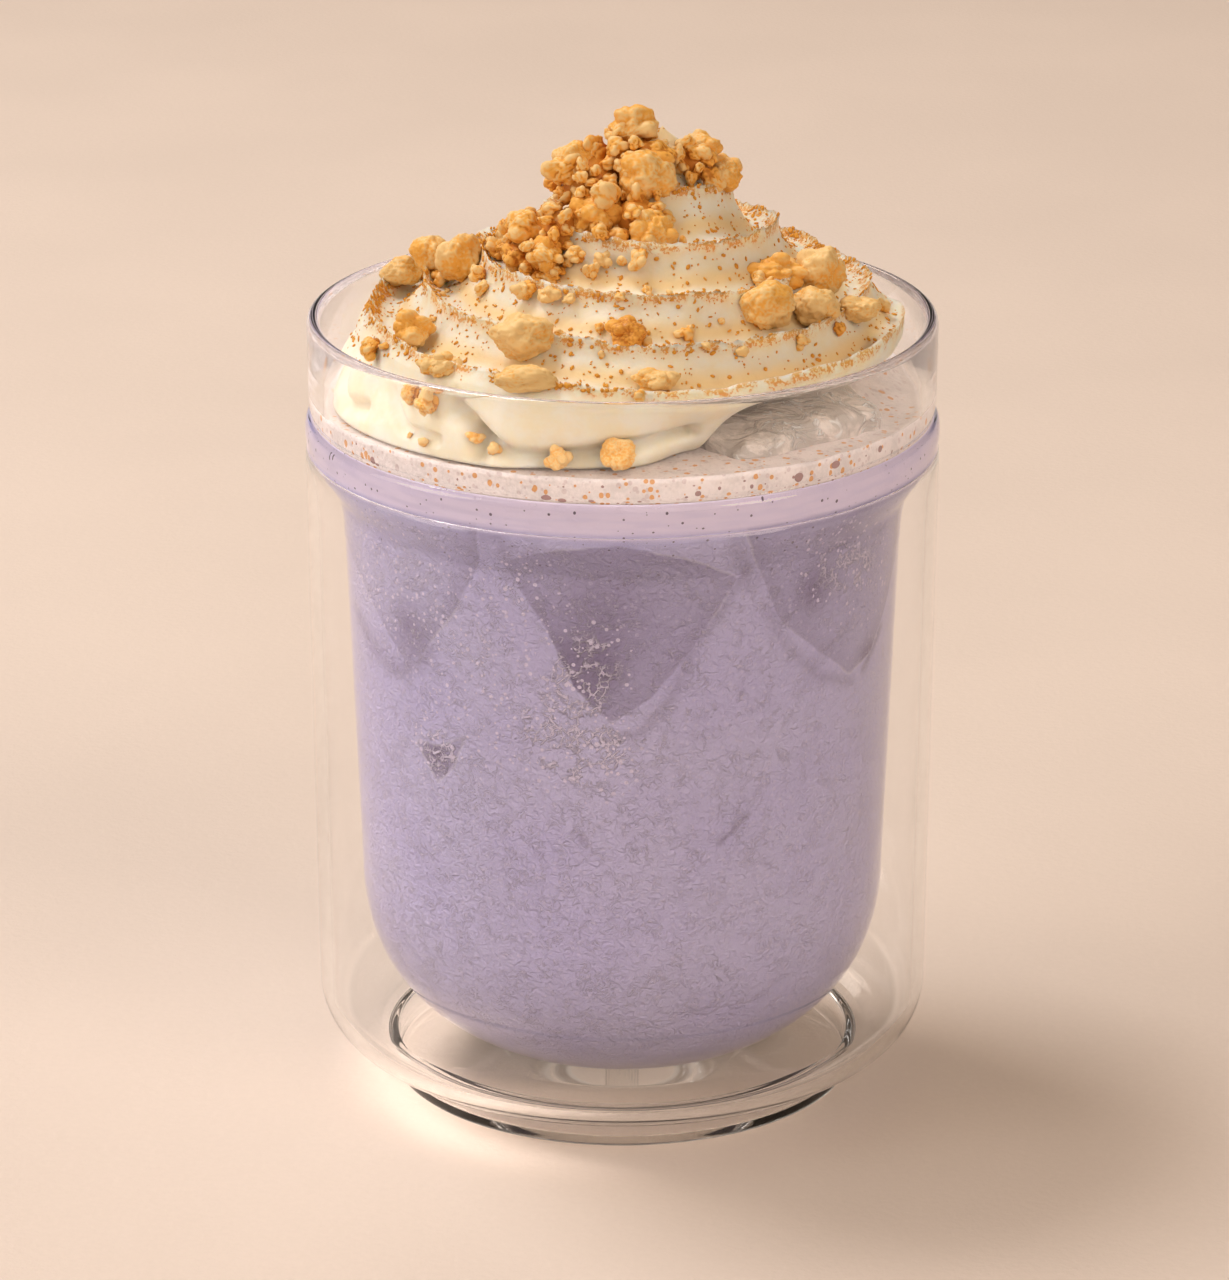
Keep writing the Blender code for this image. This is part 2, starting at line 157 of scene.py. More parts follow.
# How far the cream spreads over the foam: (angle in degrees, radius)
CREAM_SPREAD = (
    (0, 32.0 * MM), (35, 36.0 * MM), (90, 35.0 * MM), (150, 39.0 * MM), (190, 40.4 * MM),
    (243, 40.2 * MM), (258, 37.8 * MM), (270, 36.8 * MM), (287, 31.0 * MM), (303, 18.0 * MM),
    (330, 18.0 * MM), (350, 27.0 * MM), (360, 32.0 * MM),
)

# Folds in the cream against the collar: line as (degrees, millimetres up), width and depth in millimetres
CREAM_FOLDS = (
    (((-124.5, 107.6), (-120.4, 105.8), (-117.8, 103.9), (-117.9, 100.5)), 1.2, 3.0),
    (((-117.8, 104.4), (-111.9, 102.1), (-104.9, 101.7), (-97.2, 102.6), (-86.8, 103.8), (-75.3, 104.5)),
     1.0, 2.8),
    (((-145.0, 107.7), (-136.0, 103.2), (-127.5, 103.0)), 0.7, 1.4),
    (((-168.0, 106.0), (-158.0, 102.5), (-150.0, 103.5)), 0.9, 1.5),
    (((150.0, 106.5), (120.0, 103.5), (95.0, 105.0), (70.0, 103.0)), 1.4, 1.4),
    (((30.0, 106.0), (50.0, 103.0), (62.0, 101.5)), 1.2, 1.2),
)

# Floating ice cube
ICE_SIZE = (25 * MM, 13 * MM, 12 * MM)
ICE_PLACE = (21.5 * MM, -20.5 * MM, 97.8 * MM)
ICE_TURN = (0.12, -0.08, 0.62)

# Candied peanut nuggets, in millimetres: place of the middle, then length, depth and height
NUGGETS = (
    ((3.4, -6.4, 132.4), (8.0, 6.0, 7.0)), ((1.6, -1.2, 138.2), (7.0, 6.0, 5.6)),
    ((-6.6, -3.6, 133.4), (5.6, 5.0, 5.8)), ((10.4, -0.6, 135.2), (6.4, 4.6, 4.2)),
    ((13.8, -1.0, 131.2), (5.2, 4.8, 5.2)), ((-3.6, -9.6, 127.0), (7.2, 5.4, 6.2)),
    ((4.2, -12.6, 126.0), (6.4, 5.0, 6.2)), ((-10.4, -11.8, 122.8), (4.6, 4.4, 5.0)),
    ((-22.6, -0.6, 119.4), (6.6, 6.0, 6.8)), ((-26.4, 4.6, 118.4), (5.8, 5.2, 5.4)),
    ((-31.0, 9.6, 114.4), (6.0, 5.0, 4.4)), ((-28.0, -17.2, 113.6), (6.0, 5.0, 5.6)),
    ((-13.2, -28.6, 116.0), (8.8, 6.4, 6.0)), ((0.4, -27.2, 115.8), (5.6, 5.0, 4.6)),
    ((-24.6, -28.4, 112.2), (4.6, 3.6, 3.2)), ((-12.8, -35.4, 112.4), (8.2, 4.6, 3.6)),
    ((4.3, -34.6, 111.6), (6.4, 4.6, 3.4)), ((19.4, -20.0, 117.8), (7.4, 6.0, 6.4)),
    ((21.0, -10.4, 120.2), (8.6, 6.4, 5.0)), ((27.0, -9.4, 119.6), (6.8, 6.0, 7.2)),
    ((26.0, -15.6, 116.6), (6.6, 5.6, 5.6)), ((32.2, -12.6, 115.4), (5.6, 4.6, 3.6)),
    ((-8.4, -37.8, 102.4), (3.8, 3.6, 3.2)), ((-0.6, -38.4, 103.0), (4.6, 4.2, 4.2)),
)

# Nuggets that are clusters of beads instead of smooth nuts, and how much darker or paler some are
BEADED_NUGGETS = (2, 4, 5, 6, 7, 8, 12, 14, 15, 17, 19, 23)
NUGGET_TONES = {
    1: 0.04, 3: 0.06, 4: -0.04, 6: 0.06, 7: 0.03, 8: 0.14, 10: -0.04, 13: -0.08, 14: 0.30, 15: -0.06,
    16: -0.08, 17: -0.10, 19: 0.14, 20: -0.05, 21: -0.08, 22: -0.05,
}

# Nuggets that loose crumbs lie round, how far the crumbs spread and their sizes in millimetres
FIRST_ON_CREAM = 8
LAST_ON_CREAM = 22
CRUMB_SPREAD = 3.2 * MM
CRUMB_REACH = 36 * MM
CRUMB_SIZES = (0.7, 1.9)

# Cinnamon flakes: sizes in millimetres and how far they reach from the axis
FLAKE_SIZES = (0.12, 0.15, 0.19, 0.25, 0.38)
FLAKE_REACH = 38 * MM

# Crumble heap on the peak, in millimetres: lumps of its core, each with its radius
HEAP_LUMPS = (
    ((1.0, -2.0, 133.4), 5.0), ((-4.4, -3.0, 130.6), 5.4), ((-3.0, -6.6, 127.2), 4.8),
    ((-8.2, -7.6, 124.6), 4.4), ((-10.4, -10.0, 121.8), 3.6), ((2.0, -8.8, 126.8), 4.2),
    ((-2.4, -11.0, 123.4), 3.8), ((-12.4, -5.4, 122.8), 3.6), ((9.5, -1.5, 132.5), 3.0),
)

# Length, width and height of grains and crumbs, as shares of their size
LUMP_FORMS = ((1.0, 1.0, 1.0), (1.0, 0.9, 0.8), (1.3, 0.9, 0.75), (1.2, 0.85, 0.8), (1.15, 1.0, 0.7))

# The heap's grains: sizes in millimetres, how many places are tried and how much darker they are
HEAP_SIZES = (2.0, 2.4, 3.0, 3.6, 4.4, 5.2)
HEAP_TRIES = 9000
HEAP_TONE = 0.09

# Loose grains beside the heap and on the cream, in millimetres: place across and up as seen from
# the camera, on the upright plane through the axis, then size
LOOSE_GRAINS = (
    (-15.2, 126.6, 4.5), (-13.8, 130.0, 3.5), (-17.0, 123.8, 3.5), (-11.9, 131.4, 3.5),
    (-14.9, 122.8, 4), (-18.0, 119.5, 3.5), (-15.6, 119.1, 3.5), (-18.9, 116.6, 3),
    (-13.4, 117.6, 4.5), (-12.9, 114.5, 3.2), (-9.6, 113.6, 3), (-8.8, 116.4, 3.2), (-5.9, 119.2, 3.2),
    (-2.3, 118.5, 2.8), (0.1, 118.5, 2), (-4.1, 116.8, 2.5), (-26.4, 118.5, 4), (-25.4, 115.6, 3),
    (-23.5, 116.4, 2.5), (-19.0, 114.4, 2), (-26.0, 103.0, 3.5), (-28.4, 99.1, 2.5),
    (-26.0, 98.1, 3.5), (-34.0, 106.0, 3.2), (-0.3, 113.6, 1.6), (3.4, 114.2, 1.4), (18.3, 115.6, 3),
    (19.1, 109.6, 2.5), (35.4, 111.8, 2.5), (36.8, 113.6, 2), (13.6, 109.9, 1.2), (2.4, 99.1, 2),
    (6.0, 101.0, 3), (-20.5, 93.1, 2.2), (-17.5, 91.4, 2.0), (-10.7, 113.6, 1.8), (-7.2, 113.1, 1.6),
    (-22.1, 118.5, 3.0), (-27.9, 116.6, 3.0), (-16.2, 121.2, 2.6), (2.4, 118.5, 3.2),
    (9.3, 108.8, 1.2), (-3.1, 108.8, 1.4), (-8.6, 108.0, 1.5), (11.6, 106.6, 1.4), (16.5, 105.6, 1.6),
    (24.6, 107.3, 1.8), (29.5, 108.8, 2.2),
)

# Ice sunk in the drink, where it touches the cup: outlines as (degrees round the axis, millimetres up)
SUNK_ICE = (
    ((-172, 95), (-117, 95), (-119.9, 86.5), (-125.8, 78.6), (-136, 70.5), (-141, 68.9),
     (-153.4, 75.2), (-162.2, 79.2), (-174, 82)),
    ((-114.9, 87.1), (-101.9, 90.1), (-90.5, 91.0), (-76.9, 88.4), (-66.2, 84.6), (-74.4, 76.4),
     (-84.5, 68.2), (-92.6, 64.6), (-99.6, 69.5), (-106.7, 79.2)),
    ((-67.2, 93), (-55.4, 76.6), (-35.3, 66.4), (-26.9, 67.9), (-19.2, 73.6), (-12, 80), (-14, 93)),
    ((-138.7, 57.6), (-131, 58.2), (-124.3, 60.7), (-128, 55.5), (-132.4, 52.5)),
    ((40, 93), (78, 94), (70, 74), (55, 69), (44, 78)),
    ((105, 92), (142, 93), (136, 76), (124, 66), (112, 74)),
)

# Colours of the frost with the painted highlights on droplets and the painted reflection under the collar's
# join, of the ice's outline and of dark flecks
FROST_AND_PAINTED_HIGHLIGHT_COLOUR = (0.90, 0.79, 1.0, 1.0)
RIM_COLOUR = (0.86, 0.80, 0.92, 1.0)
FLECK_COLOUR = (0.10, 0.06, 0.12, 1.0)

# Nothing is marked below this height; depth in millimetres that stands for far outside the ice
ICE_LOW = 40.0 * MM
FAR_FROM_ICE = -9.0

# Spots that change the painted shade in the sunk ice: degrees, millimetres up, radius in millimetres,
# strength
ICE_SHADES = (
    (-139.4, 74.3, 3.4, 0.8), (-97, 72, 4.6, 1.0), (-95, 80, 7.0, 0.45), (-90, 84, 16.0, 0.22),
    (-150, 86, 14.0, -0.35), (-47.8, 80.6, 3.4, 0.8), (-27.8, 67.4, 2.6, 0.8), (-40, 88, 7.0, 0.35),
    (-132.4, 56.5, 2.2, 0.9), (58, 78, 5.0, 0.6), (124, 76, 5.0, 0.6),
)

# Blurred shade round the sunk ice: outline as (degrees, millimetres up), width in millimetres, strength
ICE_BLURS = (
    (((-64, 86), (-70, 80), (-74.4, 76.4), (-80, 68), (-86.5, 63.1), (-93, 62.4)), 0.8, 0.42),
    (((-163, 72), (-152, 68), (-143, 67), (-134, 71)), 1.6, 0.5),
    (((-117.9, 90.8), (-113.6, 91.3), (-112.9, 84.4)), 0.9, 0.4),
    (((-68.7, 91.5), (-62.8, 82.5), (-60, 86)), 0.9, 0.35),
    (((-60, 80), (-54, 73), (-45, 67.5), (-34, 65)), 0.9, 0.4),
    (((-29.5, 66), (-22, 70.5)), 0.7, 0.7),
    (((-99.5, 48.6), (-97.8, 46.6)), 0.45, 0.8), (((-108.1, 44.7), (-108.1, 44.9)), 0.45, 0.7),
    (((-69.3, 46.1), (-62.8, 49.8)), 0.4, 0.7), (((-65.3, 67.7), (-65.3, 67.9)), 0.4, 0.7),
)

# Frost and droplets on the cup: degrees, millimetres up, radius in millimetres, strength
FROST_PATCHES = (
    (-150, 85, 12.0, 0.38), (-134, 80, 8.0, 0.34), (-110, 84, 5.0, 0.42), (-97, 73, 5.0, 1.0),
    (-102, 63, 6.0, 1.0), (-96, 60, 5.0, 0.8), (-42, 84, 7.0, 0.6), (-30, 80, 6.0, 0.5),
    (-132, 57, 4.0, 0.9), (-120, 66, 9.0, 0.3), (60, 80, 8.0, 0.7), (124, 74, 8.0, 0.8),
)

# Studio
FLOOR_SIZE = 1.4
FLOOR_GAP = 0.1 * MM
KEY_PLACE = (-0.47, 0.36, 1.25)
KEY_SIZE = (0.42, 0.42)
SIDE_PLACE = (-0.84, -0.16, 0.62)
SIDE_SIZE = (0.8, 0.8)
FRONT_PLACE = (0.45, -1.10, 0.80)
FRONT_SIZE = (0.9, 0.9)
LIGHT_AIM = (0.0, 0.0, 0.06)
WHITE_LIGHT = (1.0, 0.99, 0.98)
WARM_LIGHT = (1.0, 0.88, 0.74)
WORLD_COLOUR = (1.0, 0.79, 0.60)
WALL_COLOUR = (1.0, 0.89, 0.78)

# Bright windows that show in the glass: direction, cosine of the edge, brightness; blur of the edge
WINDOWS = (
    ((-0.86, -0.22, 0.46), 0.965, 3.0), ((0.70, -0.52, 0.49), 0.972, 5.0), ((-0.10, 0.75, 0.65), 0.975, 3.0),
)

WINDOW_BLUR = 0.004

# Bounces of light: the glass needs many, the matt surfaces few
LIGHT_BOUNCES = 10
DIFFUSE_BOUNCES = 2

# Bubbles and dark pores in the foam at the wall: degrees, millimetres up, radius in millimetres
FOAM_BUBBLES = (
    (-103.9, 97.7, 0.62), (-101.0, 97.3, 0.55), (-95.7, 97.5, 0.42), (-56.5, 98.8, 0.62), (-48.0, 99.3, 0.75),
    (-66.2, 98.6, 0.30), (-142.2, 98.3, 0.50), (-141.0, 98.0, 0.40), (-35.7, 99.4, 0.50), (-76.4, 98.4, 0.36),
    (-72.4, 98.8, 0.28), (-87.0, 97.4, 0.30), (60.0, 98.6, 0.50), (120.0, 98.2, 0.50), (170.0, 98.0, 0.40),
)
SMALL_BUBBLES = 110
SMALL_BUBBLE_SIZES = (0.10, 0.13, 0.18, 0.24)

# Camera
CAMERA_PITCH = math.radians(19.37)
CAMERA_FAR = 789.3 * MM
CAMERA_AIM = (-1.1 * MM, 0.0, 63.3 * MM)
CAMERA_LENS = 157.5
CAMERA_SENSOR = 36.0


# Settings

def colour_property(name, description, default):
    """Linear colour with a swatch."""
    return bpy.props.FloatVectorProperty(
        name=name, description=description, default=default, size=3, min=0.0, max=1.0, subtype="COLOR",
    )


def count_property(name, description, default, least, most):
    """Whole number of pieces."""
    return bpy.props.IntProperty(
        name=name, description=description, default=default, min=least, max=most,
    )


def power_property(name, description, default):
    """Power of a light."""
    return bpy.props.FloatProperty(
        name=name, description=description, default=default, min=0.0, subtype="POWER",
    )


def level_property(name, description, default):
    """Brightness of the surroundings."""
    return bpy.props.FloatProperty(
        name=name, description=description, default=default, min=0.0, max=4.0, subtype="FACTOR",
    )


class GlassSettings(bpy.types.PropertyGroup):
    """Finish of the glass."""
    tint: colour_property("Tint", "Colour of the clear glass", (0.990, 0.990, 0.995))
    plug: colour_property("Plug", "Colour of the silicone vent plug", (0.96, 0.96, 0.95))


class DrinkSettings(bpy.types.PropertyGroup):
    """Colours of the drink, its foam and its ice."""
    horchata: colour_property("Horchata", "Milky purple drink", (0.60, 0.54, 0.85))
    # Colour of the painted shade where the sunk ice lies
    ice_shade: colour_property("Sunk ice", "Drink seen through sunk ice", (0.22, 0.165, 0.34))
    foam: colour_property("Foam", "Froth on the drink", (0.97, 0.85, 0.83))
    ice: colour_property("Ice", "Floating ice cube", (0.95, 0.84, 0.78))
    bubble: colour_property("Bubble", "Inside of a foam bubble", (0.34, 0.20, 0.19))


class CreamSettings(bpy.types.PropertyGroup):
    """Whipped cream and cinnamon."""
    cream: colour_property("Cream", "Whipped cream", (0.95, 0.88, 0.75))
    # Colour of the painted shade in the cream's valleys
    valley_painted_shade: colour_property("Valley", "Cream in the shade between the ridges", (0.95, 0.68, 0.34))
    cinnamon: colour_property("Cinnamon", "Ground cinnamon", (0.78, 0.32, 0.045))
    flakes: count_property("Flakes", "Cinnamon flakes on the cream", 7600, 0, 9000)


class NutSettings(bpy.types.PropertyGroup):
    """Candied peanuts."""
    # The darkest nut colour, also used for the painted shade between the heap's grains
    caramel_and_painted_shade: colour_property("Caramel", "Dark caramelised hollows", (0.66, 0.23, 0.028))
    golden: colour_property("Golden", "Candied face of a nut", (1.0, 0.49, 0.090))
    pale: colour_property("Pale", "Pale broken nut", (1.0, 0.67, 0.29))
    grains: count_property("Grains", "Grains in the crumble heap", 170, 20, 260)
    crumbs: count_property("Crumbs", "Loose crumbs on the cream", 70, 0, 300)


class StudioSettings(bpy.types.PropertyGroup):
    """Floor and lights."""
    floor: colour_property("Floor", "Pale table", (0.89, 0.735, 0.63))
    key_power: power_property("Key light", "Power of the soft key light", 8.6)
    side_power: power_property("Side light", "Power of the large light on the left", 3.1)
    front_power: power_property("Front light", "Power of the large light in front", 3.3)
    fill: level_property("Fill", "Brightness of the surroundings", 0.20)
    walls: level_property("Walls", "Brightness of the surroundings in the glass", 0.80)


# Meshes and pieces

def mesh_from(bm, name):
    """Turn a bmesh into a mesh with its faces pointing outwards."""
    bmesh.ops.recalc_face_normals(bm, faces=bm.faces)
    mesh = bpy.data.meshes.new(name)
    bm.to_mesh(mesh)
    bm.free()
    mesh.shade_smooth()
    return mesh


def order_key(place):
    """Number to sort places by, different for each place."""
    return sum(share * part for share, part in zip(ORDER_SHARES, place))


def put_in_order(bm):
    """Sort vertices and faces by place, because some operators leave them in another order each run."""
    bm.verts.sort(key=lambda vert: order_key(vert.co))
    bm.faces.sort(key=lambda face: order_key(face.calc_center_median()))


def finish_piece(name, mesh, material, nodes=()):
    """Put a mesh in the scene as a piece that rides with the glass and stands for some CAD nodes."""
    piece = bpy.data.objects.new(name, mesh)
    piece.data.materials.append(material)
    bpy.context.scene.collection.objects.link(piece)
    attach(piece, BODY)
    if nodes:
        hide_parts(*nodes)
    return piece


def round_axis(angle, out, up):
    """Point at an angle and a distance round the glass's axis."""
    return Vector((out * math.cos(angle), out * math.sin(angle), up))


def arc(centre, radius, start, end, steps):
    """Points of a circular arc in a turned profile, angles in degrees."""
    points = []
    for step in range(steps + 1):
        angle = math.radians(start + (end - start) * step / steps)
        points.append((centre[0] + radius * math.cos(angle), centre[1] + radius * math.sin(angle)))
    return points


def spun(profile, sides):
    """Wrap a grid round the glass's axis, one row for each (radius, height) of a profile."""
    rows = len(profile) - 1
    bm = bmesh.new()
    bmesh.ops.create_grid(bm, x_segments=sides, y_segments=rows, size=0.5)
    for vert in bm.verts:
        angle = math.tau * (round((vert.co.x + 0.5) * sides) % sides) / sides
        vert.co = round_axis(angle, *profile[round((vert.co.y + 0.5) * rows)])
    bmesh.ops.remove_doubles(bm, verts=bm.verts, dist=0.000001)
    bmesh.ops.dissolve_degenerate(bm, edges=bm.edges, dist=0.0000005)
    return bm


def wall_radius(height):
    """Outer radius of the straight, slightly tapering outer wall."""
    return WALL_RADIUS - WALL_TAPER * (WALL_TOP - height)


def bowl(radius, bottom, steps):
    """Deep rounded bowl from its middle up to the straight cup wall."""
    points = []
    for step in range(steps + 1):
        angle = math.pi / 2 * step / steps
        power = 2 / BOWL_POWER
        out = radius * math.sin(angle) ** power
        up = bottom + (CUP_LOW - bottom) * (1 - math.cos(angle) ** power)
        points.append((out, up))
    return points


def cup_inside(inset=0.0):
    """Inner face of the cup from its bottom to the foot of the collar."""
    points = bowl(CUP_LOW_RADIUS - CUP_WALL - inset, CUP_BOTTOM + CUP_WALL + inset, BOWL_STEPS)
    points.append((CUP_TOP_RADIUS - CUP_WALL - inset, CUP_TOP - CUP_WALL))
    points.append((COLLAR_LOW_RADIUS - inset, COLLAR_LOW))
    return points


def between(start, end, share):
    """Point on the line between two points of a profile."""
    return (start[0] + (end[0] - start[0]) * share, start[1] + (end[1] - start[1]) * share)


def eased(points, steps):
    """Round the corners of a profile by cutting each corner twice."""
    for _ in range(steps):
        cut = [points[0]]
        for (out, up), (next_out, next_up) in zip(points, points[1:]):
            cut.append((0.75 * out + 0.25 * next_out, 0.75 * up + 0.25 * next_up))
            cut.append((0.25 * out + 0.75 * next_out, 0.25 * up + 0.75 * next_up))
        points = cut + [points[-1]]
    return points


def rim_section():
    """Section from the top of the inner cup through the funnel and up over the lip."""
    inner_kink = (CUP_TOP_RADIUS - CUP_WALL, CUP_TOP - CUP_WALL)
    collar_kink = (COLLAR_LOW_RADIUS, COLLAR_LOW)
    funnel = eased([
        (inner_kink[0] - 0.44 * MM, inner_kink[1] - 12 * MM),
        (inner_kink[0] - 0.02 * MM, inner_kink[1] - 0.6 * MM),
        inner_kink,
        between(inner_kink, collar_kink, 0.06),
        between(inner_kink, collar_kink, 0.94),
        collar_kink,
        (COLLAR_LOW_RADIUS + 0.03 * MM, COLLAR_LOW + 0.6 * MM),
        (RIM_RADIUS - LIP, RIM_HEIGHT - 6 * MM),
    ], 2)
    lip_centre = (RIM_RADIUS - LIP / 2, RIM_HEIGHT - LIP / 2)
    return funnel + arc(lip_centre, LIP / 2, 180, 0, 12)


def outer_section():
    """Section from the groove of the collar down the outer wall and under the foot to the vent hole."""
    shoulder_radius = wall_radius(JOIN_HEIGHT)
    shoulder = eased([
        (GROOVE_RADIUS + 0.4 * MM, GROOVE_HEIGHT + 6.0 * MM),
        (GROOVE_RADIUS + 0.35 * MM, GROOVE_HEIGHT + 1.2 * MM),
        (GROOVE_RADIUS - 0.1 * MM, GROOVE_HEIGHT + 0.35 * MM),
        (GROOVE_RADIUS - 0.1 * MM, GROOVE_HEIGHT - 0.15 * MM),
        (GROOVE_RADIUS + 0.75 * MM, GROOVE_HEIGHT - 0.7 * MM),
        (shoulder_radius + 0.05 * MM, GROOVE_HEIGHT - 2.4 * MM),
        (shoulder_radius - 0.22 * MM, JOIN_HEIGHT - 0.2 * MM),
        (shoulder_radius, JOIN_HEIGHT - 1.4 * MM),
        (wall_radius(JOIN_HEIGHT - 8 * MM), JOIN_HEIGHT - 8 * MM),
    ], 2)
    corner_centre = (wall_radius(FOOT_HEIGHT) - CORNER, FOOT_HEIGHT + CORNER)
    corner = arc(corner_centre, CORNER, 0, -84, 14)
    foot = eased([
        (corner_centre[0], FOOT_HEIGHT),
        (FOOT_RADIUS, FOOT_HEIGHT),
        (FOOT_RADIUS, FOOT_ROUND),
        (FOOT_RADIUS - 0.3 * FOOT_ROUND, 0.3 * FOOT_ROUND),
        (FOOT_RADIUS - FOOT_ROUND, 0.0),
        (FOOT_RADIUS - 6 * FOOT_ROUND, 0.0),
    ], 3)
    return shoulder + corner + foot + [(VENT_RADIUS + 0.2 * MM, 0.0), (VENT_RADIUS, 0.2 * MM)]


def air_section():
    """Section of the air space from the vent hole up inside the outer wall to the top of the cup."""
    foot_inside = FOOT_RADIUS - FOOT_SHELL
    corner_centre = (wall_radius(FOOT_HEIGHT) - CORNER, FOOT_HEIGHT + CORNER)
    hole = [(VENT_RADIUS, FOOT_FLOOR - 0.2 * MM), (VENT_RADIUS + 0.2 * MM, FOOT_FLOOR)]
    floor = eased([
        (foot_inside - 6 * FOOT_ROUND, FOOT_FLOOR),
        (foot_inside - 0.5 * FOOT_ROUND, FOOT_FLOOR),
        (foot_inside, FOOT_FLOOR + 0.5 * FOOT_ROUND),
        (foot_inside, FOOT_HEIGHT + FOOT_SHELL - 0.3 * MM),
        (foot_inside + 0.4 * MM, FOOT_HEIGHT + FOOT_SHELL),
        (corner_centre[0] + 0.5 * MM, FOOT_HEIGHT + FOOT_SHELL),
    ], 3)
    corner = arc(corner_centre, CORNER - SHELL, -60, 0, 10)
    shoulder_radius = wall_radius(JOIN_HEIGHT)
    outer_kink = (CUP_TOP_RADIUS, CUP_TOP)
    roof = (shoulder_radius - SHELL - 0.7 * MM, JOIN_HEIGHT - 0.8 * MM)
    top = eased([
        (wall_radius(JOIN_HEIGHT - 8 * MM) - SHELL, JOIN_HEIGHT - 8 * MM),
        (shoulder_radius - SHELL - 0.1 * MM, JOIN_HEIGHT - 2.2 * MM),
        roof,
        between(outer_kink, roof, 0.2),
        outer_kink,
        (CUP_TOP_RADIUS - 0.06 * MM, CUP_TOP - 1.6 * MM),
        (CUP_TOP_RADIUS - 0.43 * MM, CUP_TOP - 12 * MM),
    ], 2)
    return hole + floor + corner + top


def glass_profile():
    """Section of the glass, from the middle of the bowl over the rim and round the air space."""
    inside = bowl(CUP_LOW_RADIUS - CUP_WALL, CUP_BOTTOM + CUP_WALL, BOWL_STEPS)
    outside = bowl(CUP_LOW_RADIUS, CUP_BOTTOM, BOWL_STEPS)
    return inside + rim_section() + outer_section() + air_section() + outside[::-1]


def smooth_table(table, angle):
    """Read a table of (degrees, value) that goes once round, with eased steps between its entries."""
    angle = angle % 360
    for (start, low), (end, high) in zip(table, table[1:]):
        if start <= angle <= end:
            part = (angle - start) / (end - start)
            part = part * part * (3 - 2 * part)
            return low + (high - low) * part
    return table[-1][1]


def reach(turn, limit):
    """Distance from the swirl's middle to the circle of radius limit round the glass's axis."""
    angle = math.tau * turn
    along = PEAK[0] * math.cos(angle) + PEAK[1] * math.sin(angle)
    return -along + math.sqrt(along ** 2 + limit ** 2 - PEAK[0] ** 2 - PEAK[1] ** 2)


def wander(angle):
    """How far the ridges wander off an even spiral, in ridges."""
    return 0.10 * math.sin(2 * angle + 0.7) + 0.07 * math.sin(3 * angle - 1.1)


def swirl_point(turn, share):
    """Point of the swirl's top, and how near it is to a crest, from 0 to 1."""
    angle = math.tau * turn
    edge = reach(turn, smooth_table(CREAM_EDGE, math.degrees(angle)))
    out = share * edge
    # Cone that flares towards the edge and stands higher at the back
    scaled = share * CONE_REACH
    height = PEAK_HEIGHT - CONE_SLOPE * scaled + CONE_FLARE * scaled ** 2
    height += BACK_LIFT * share ** 2 * math.sqrt(0.5 + 0.5 * math.sin(angle))
    # Valleys between the turns of the spiral, steep on their inner side, with crests that lean out
    phase = RIDGES * share - turn - RIDGE_START - wander(angle)
    inward = (-phase) % 1.0
    swell = (1 + 0.25 * math.sin(3 * angle + 5 * share)) * min(1.0, share / 0.2)
    height -= RIDGE_DEPTH * swell * math.sin(math.pi * inward ** 0.62)
    near = min(inward, 1 - inward)
    fade = min(1.0, share / 0.3) * min(1.0, (1.0 - share) / 0.1)
    out += RIDGE_LEAN * fade * max(0.0, 1 - near / 0.3) ** 2
    point = Vector((PEAK[0] + out * math.cos(angle), PEAK[1] + out * math.sin(angle), height))
    # Soft unevenness all over and small tears along the crests
    soft = 0.5 * MM * fractal(point * 140, 1.0, 2.0, 3)
    torn = 0.45 * MM * noise(point * 900) * max(0.0, 1 - near / 0.07) * fade
    point.z += (soft + torn) * min(1.0, share / 0.1)
    return point, max(0.0, 1 - near / 0.5) * min(1.0, share / 0.15)


def segment_distance(here, start, end):
    """Distance from a point to a line segment in the plane."""
    dx, dy = end[0] - start[0], end[1] - start[1]
    along = ((here[0] - start[0]) * dx + (here[1] - start[1]) * dy) / max(1e-9, dx * dx + dy * dy)
    along = min(1.0, max(0.0, along))
    return math.hypot(start[0] + along * dx - here[0], start[1] + along * dy - here[1])


def line_depth(lines, angle, height, radius):
    """Sum of soft lines drawn round the axis: (degrees, millimetres up) points, width and strength."""
    total = 0.0
    here = (math.radians(angle) * radius, height)
    for points, width, strength in lines:
        turns = [degrees for degrees, _ in points]
        if not min(turns) - 9 < angle < max(turns) + 9:
            continue
        flat = [(math.radians(degrees) * radius, up) for degrees, up in points]
        near = min(segment_distance(here, start, end) for start, end in zip(flat, flat[1:]))
        total += strength * math.exp(-(near / width) ** 2)
    return total


def cream_side(angle, share):
    """Point on the cream's side below its edge, from share 0 at the edge to 1 at the foot."""
    foot = smooth_table(CREAM_SPREAD, math.degrees(angle))
    edge = smooth_table(CREAM_EDGE, math.degrees(angle))
    bulge = 2.0 if foot > edge else 0.8
    out = foot + (edge - foot) * (1 - share) ** bulge
    height = CREAM_SIDE_TOP + (CREAM_FOOT - CREAM_SIDE_TOP) * share
    point = round_axis(angle, out, height)
    dent = 0.7 * MM * fractal(point * 90, 1.0, 2.0, 2) * math.sin(math.pi * min(1.0, share + 0.15))
    folds = line_depth(CREAM_FOLDS, math.degrees(angle), height / MM, CREAM_FACE)
    dent -= folds * math.sin(math.pi * share) ** 0.5 * MM
    return point + round_axis(angle, 1.0, 0.0) * dent


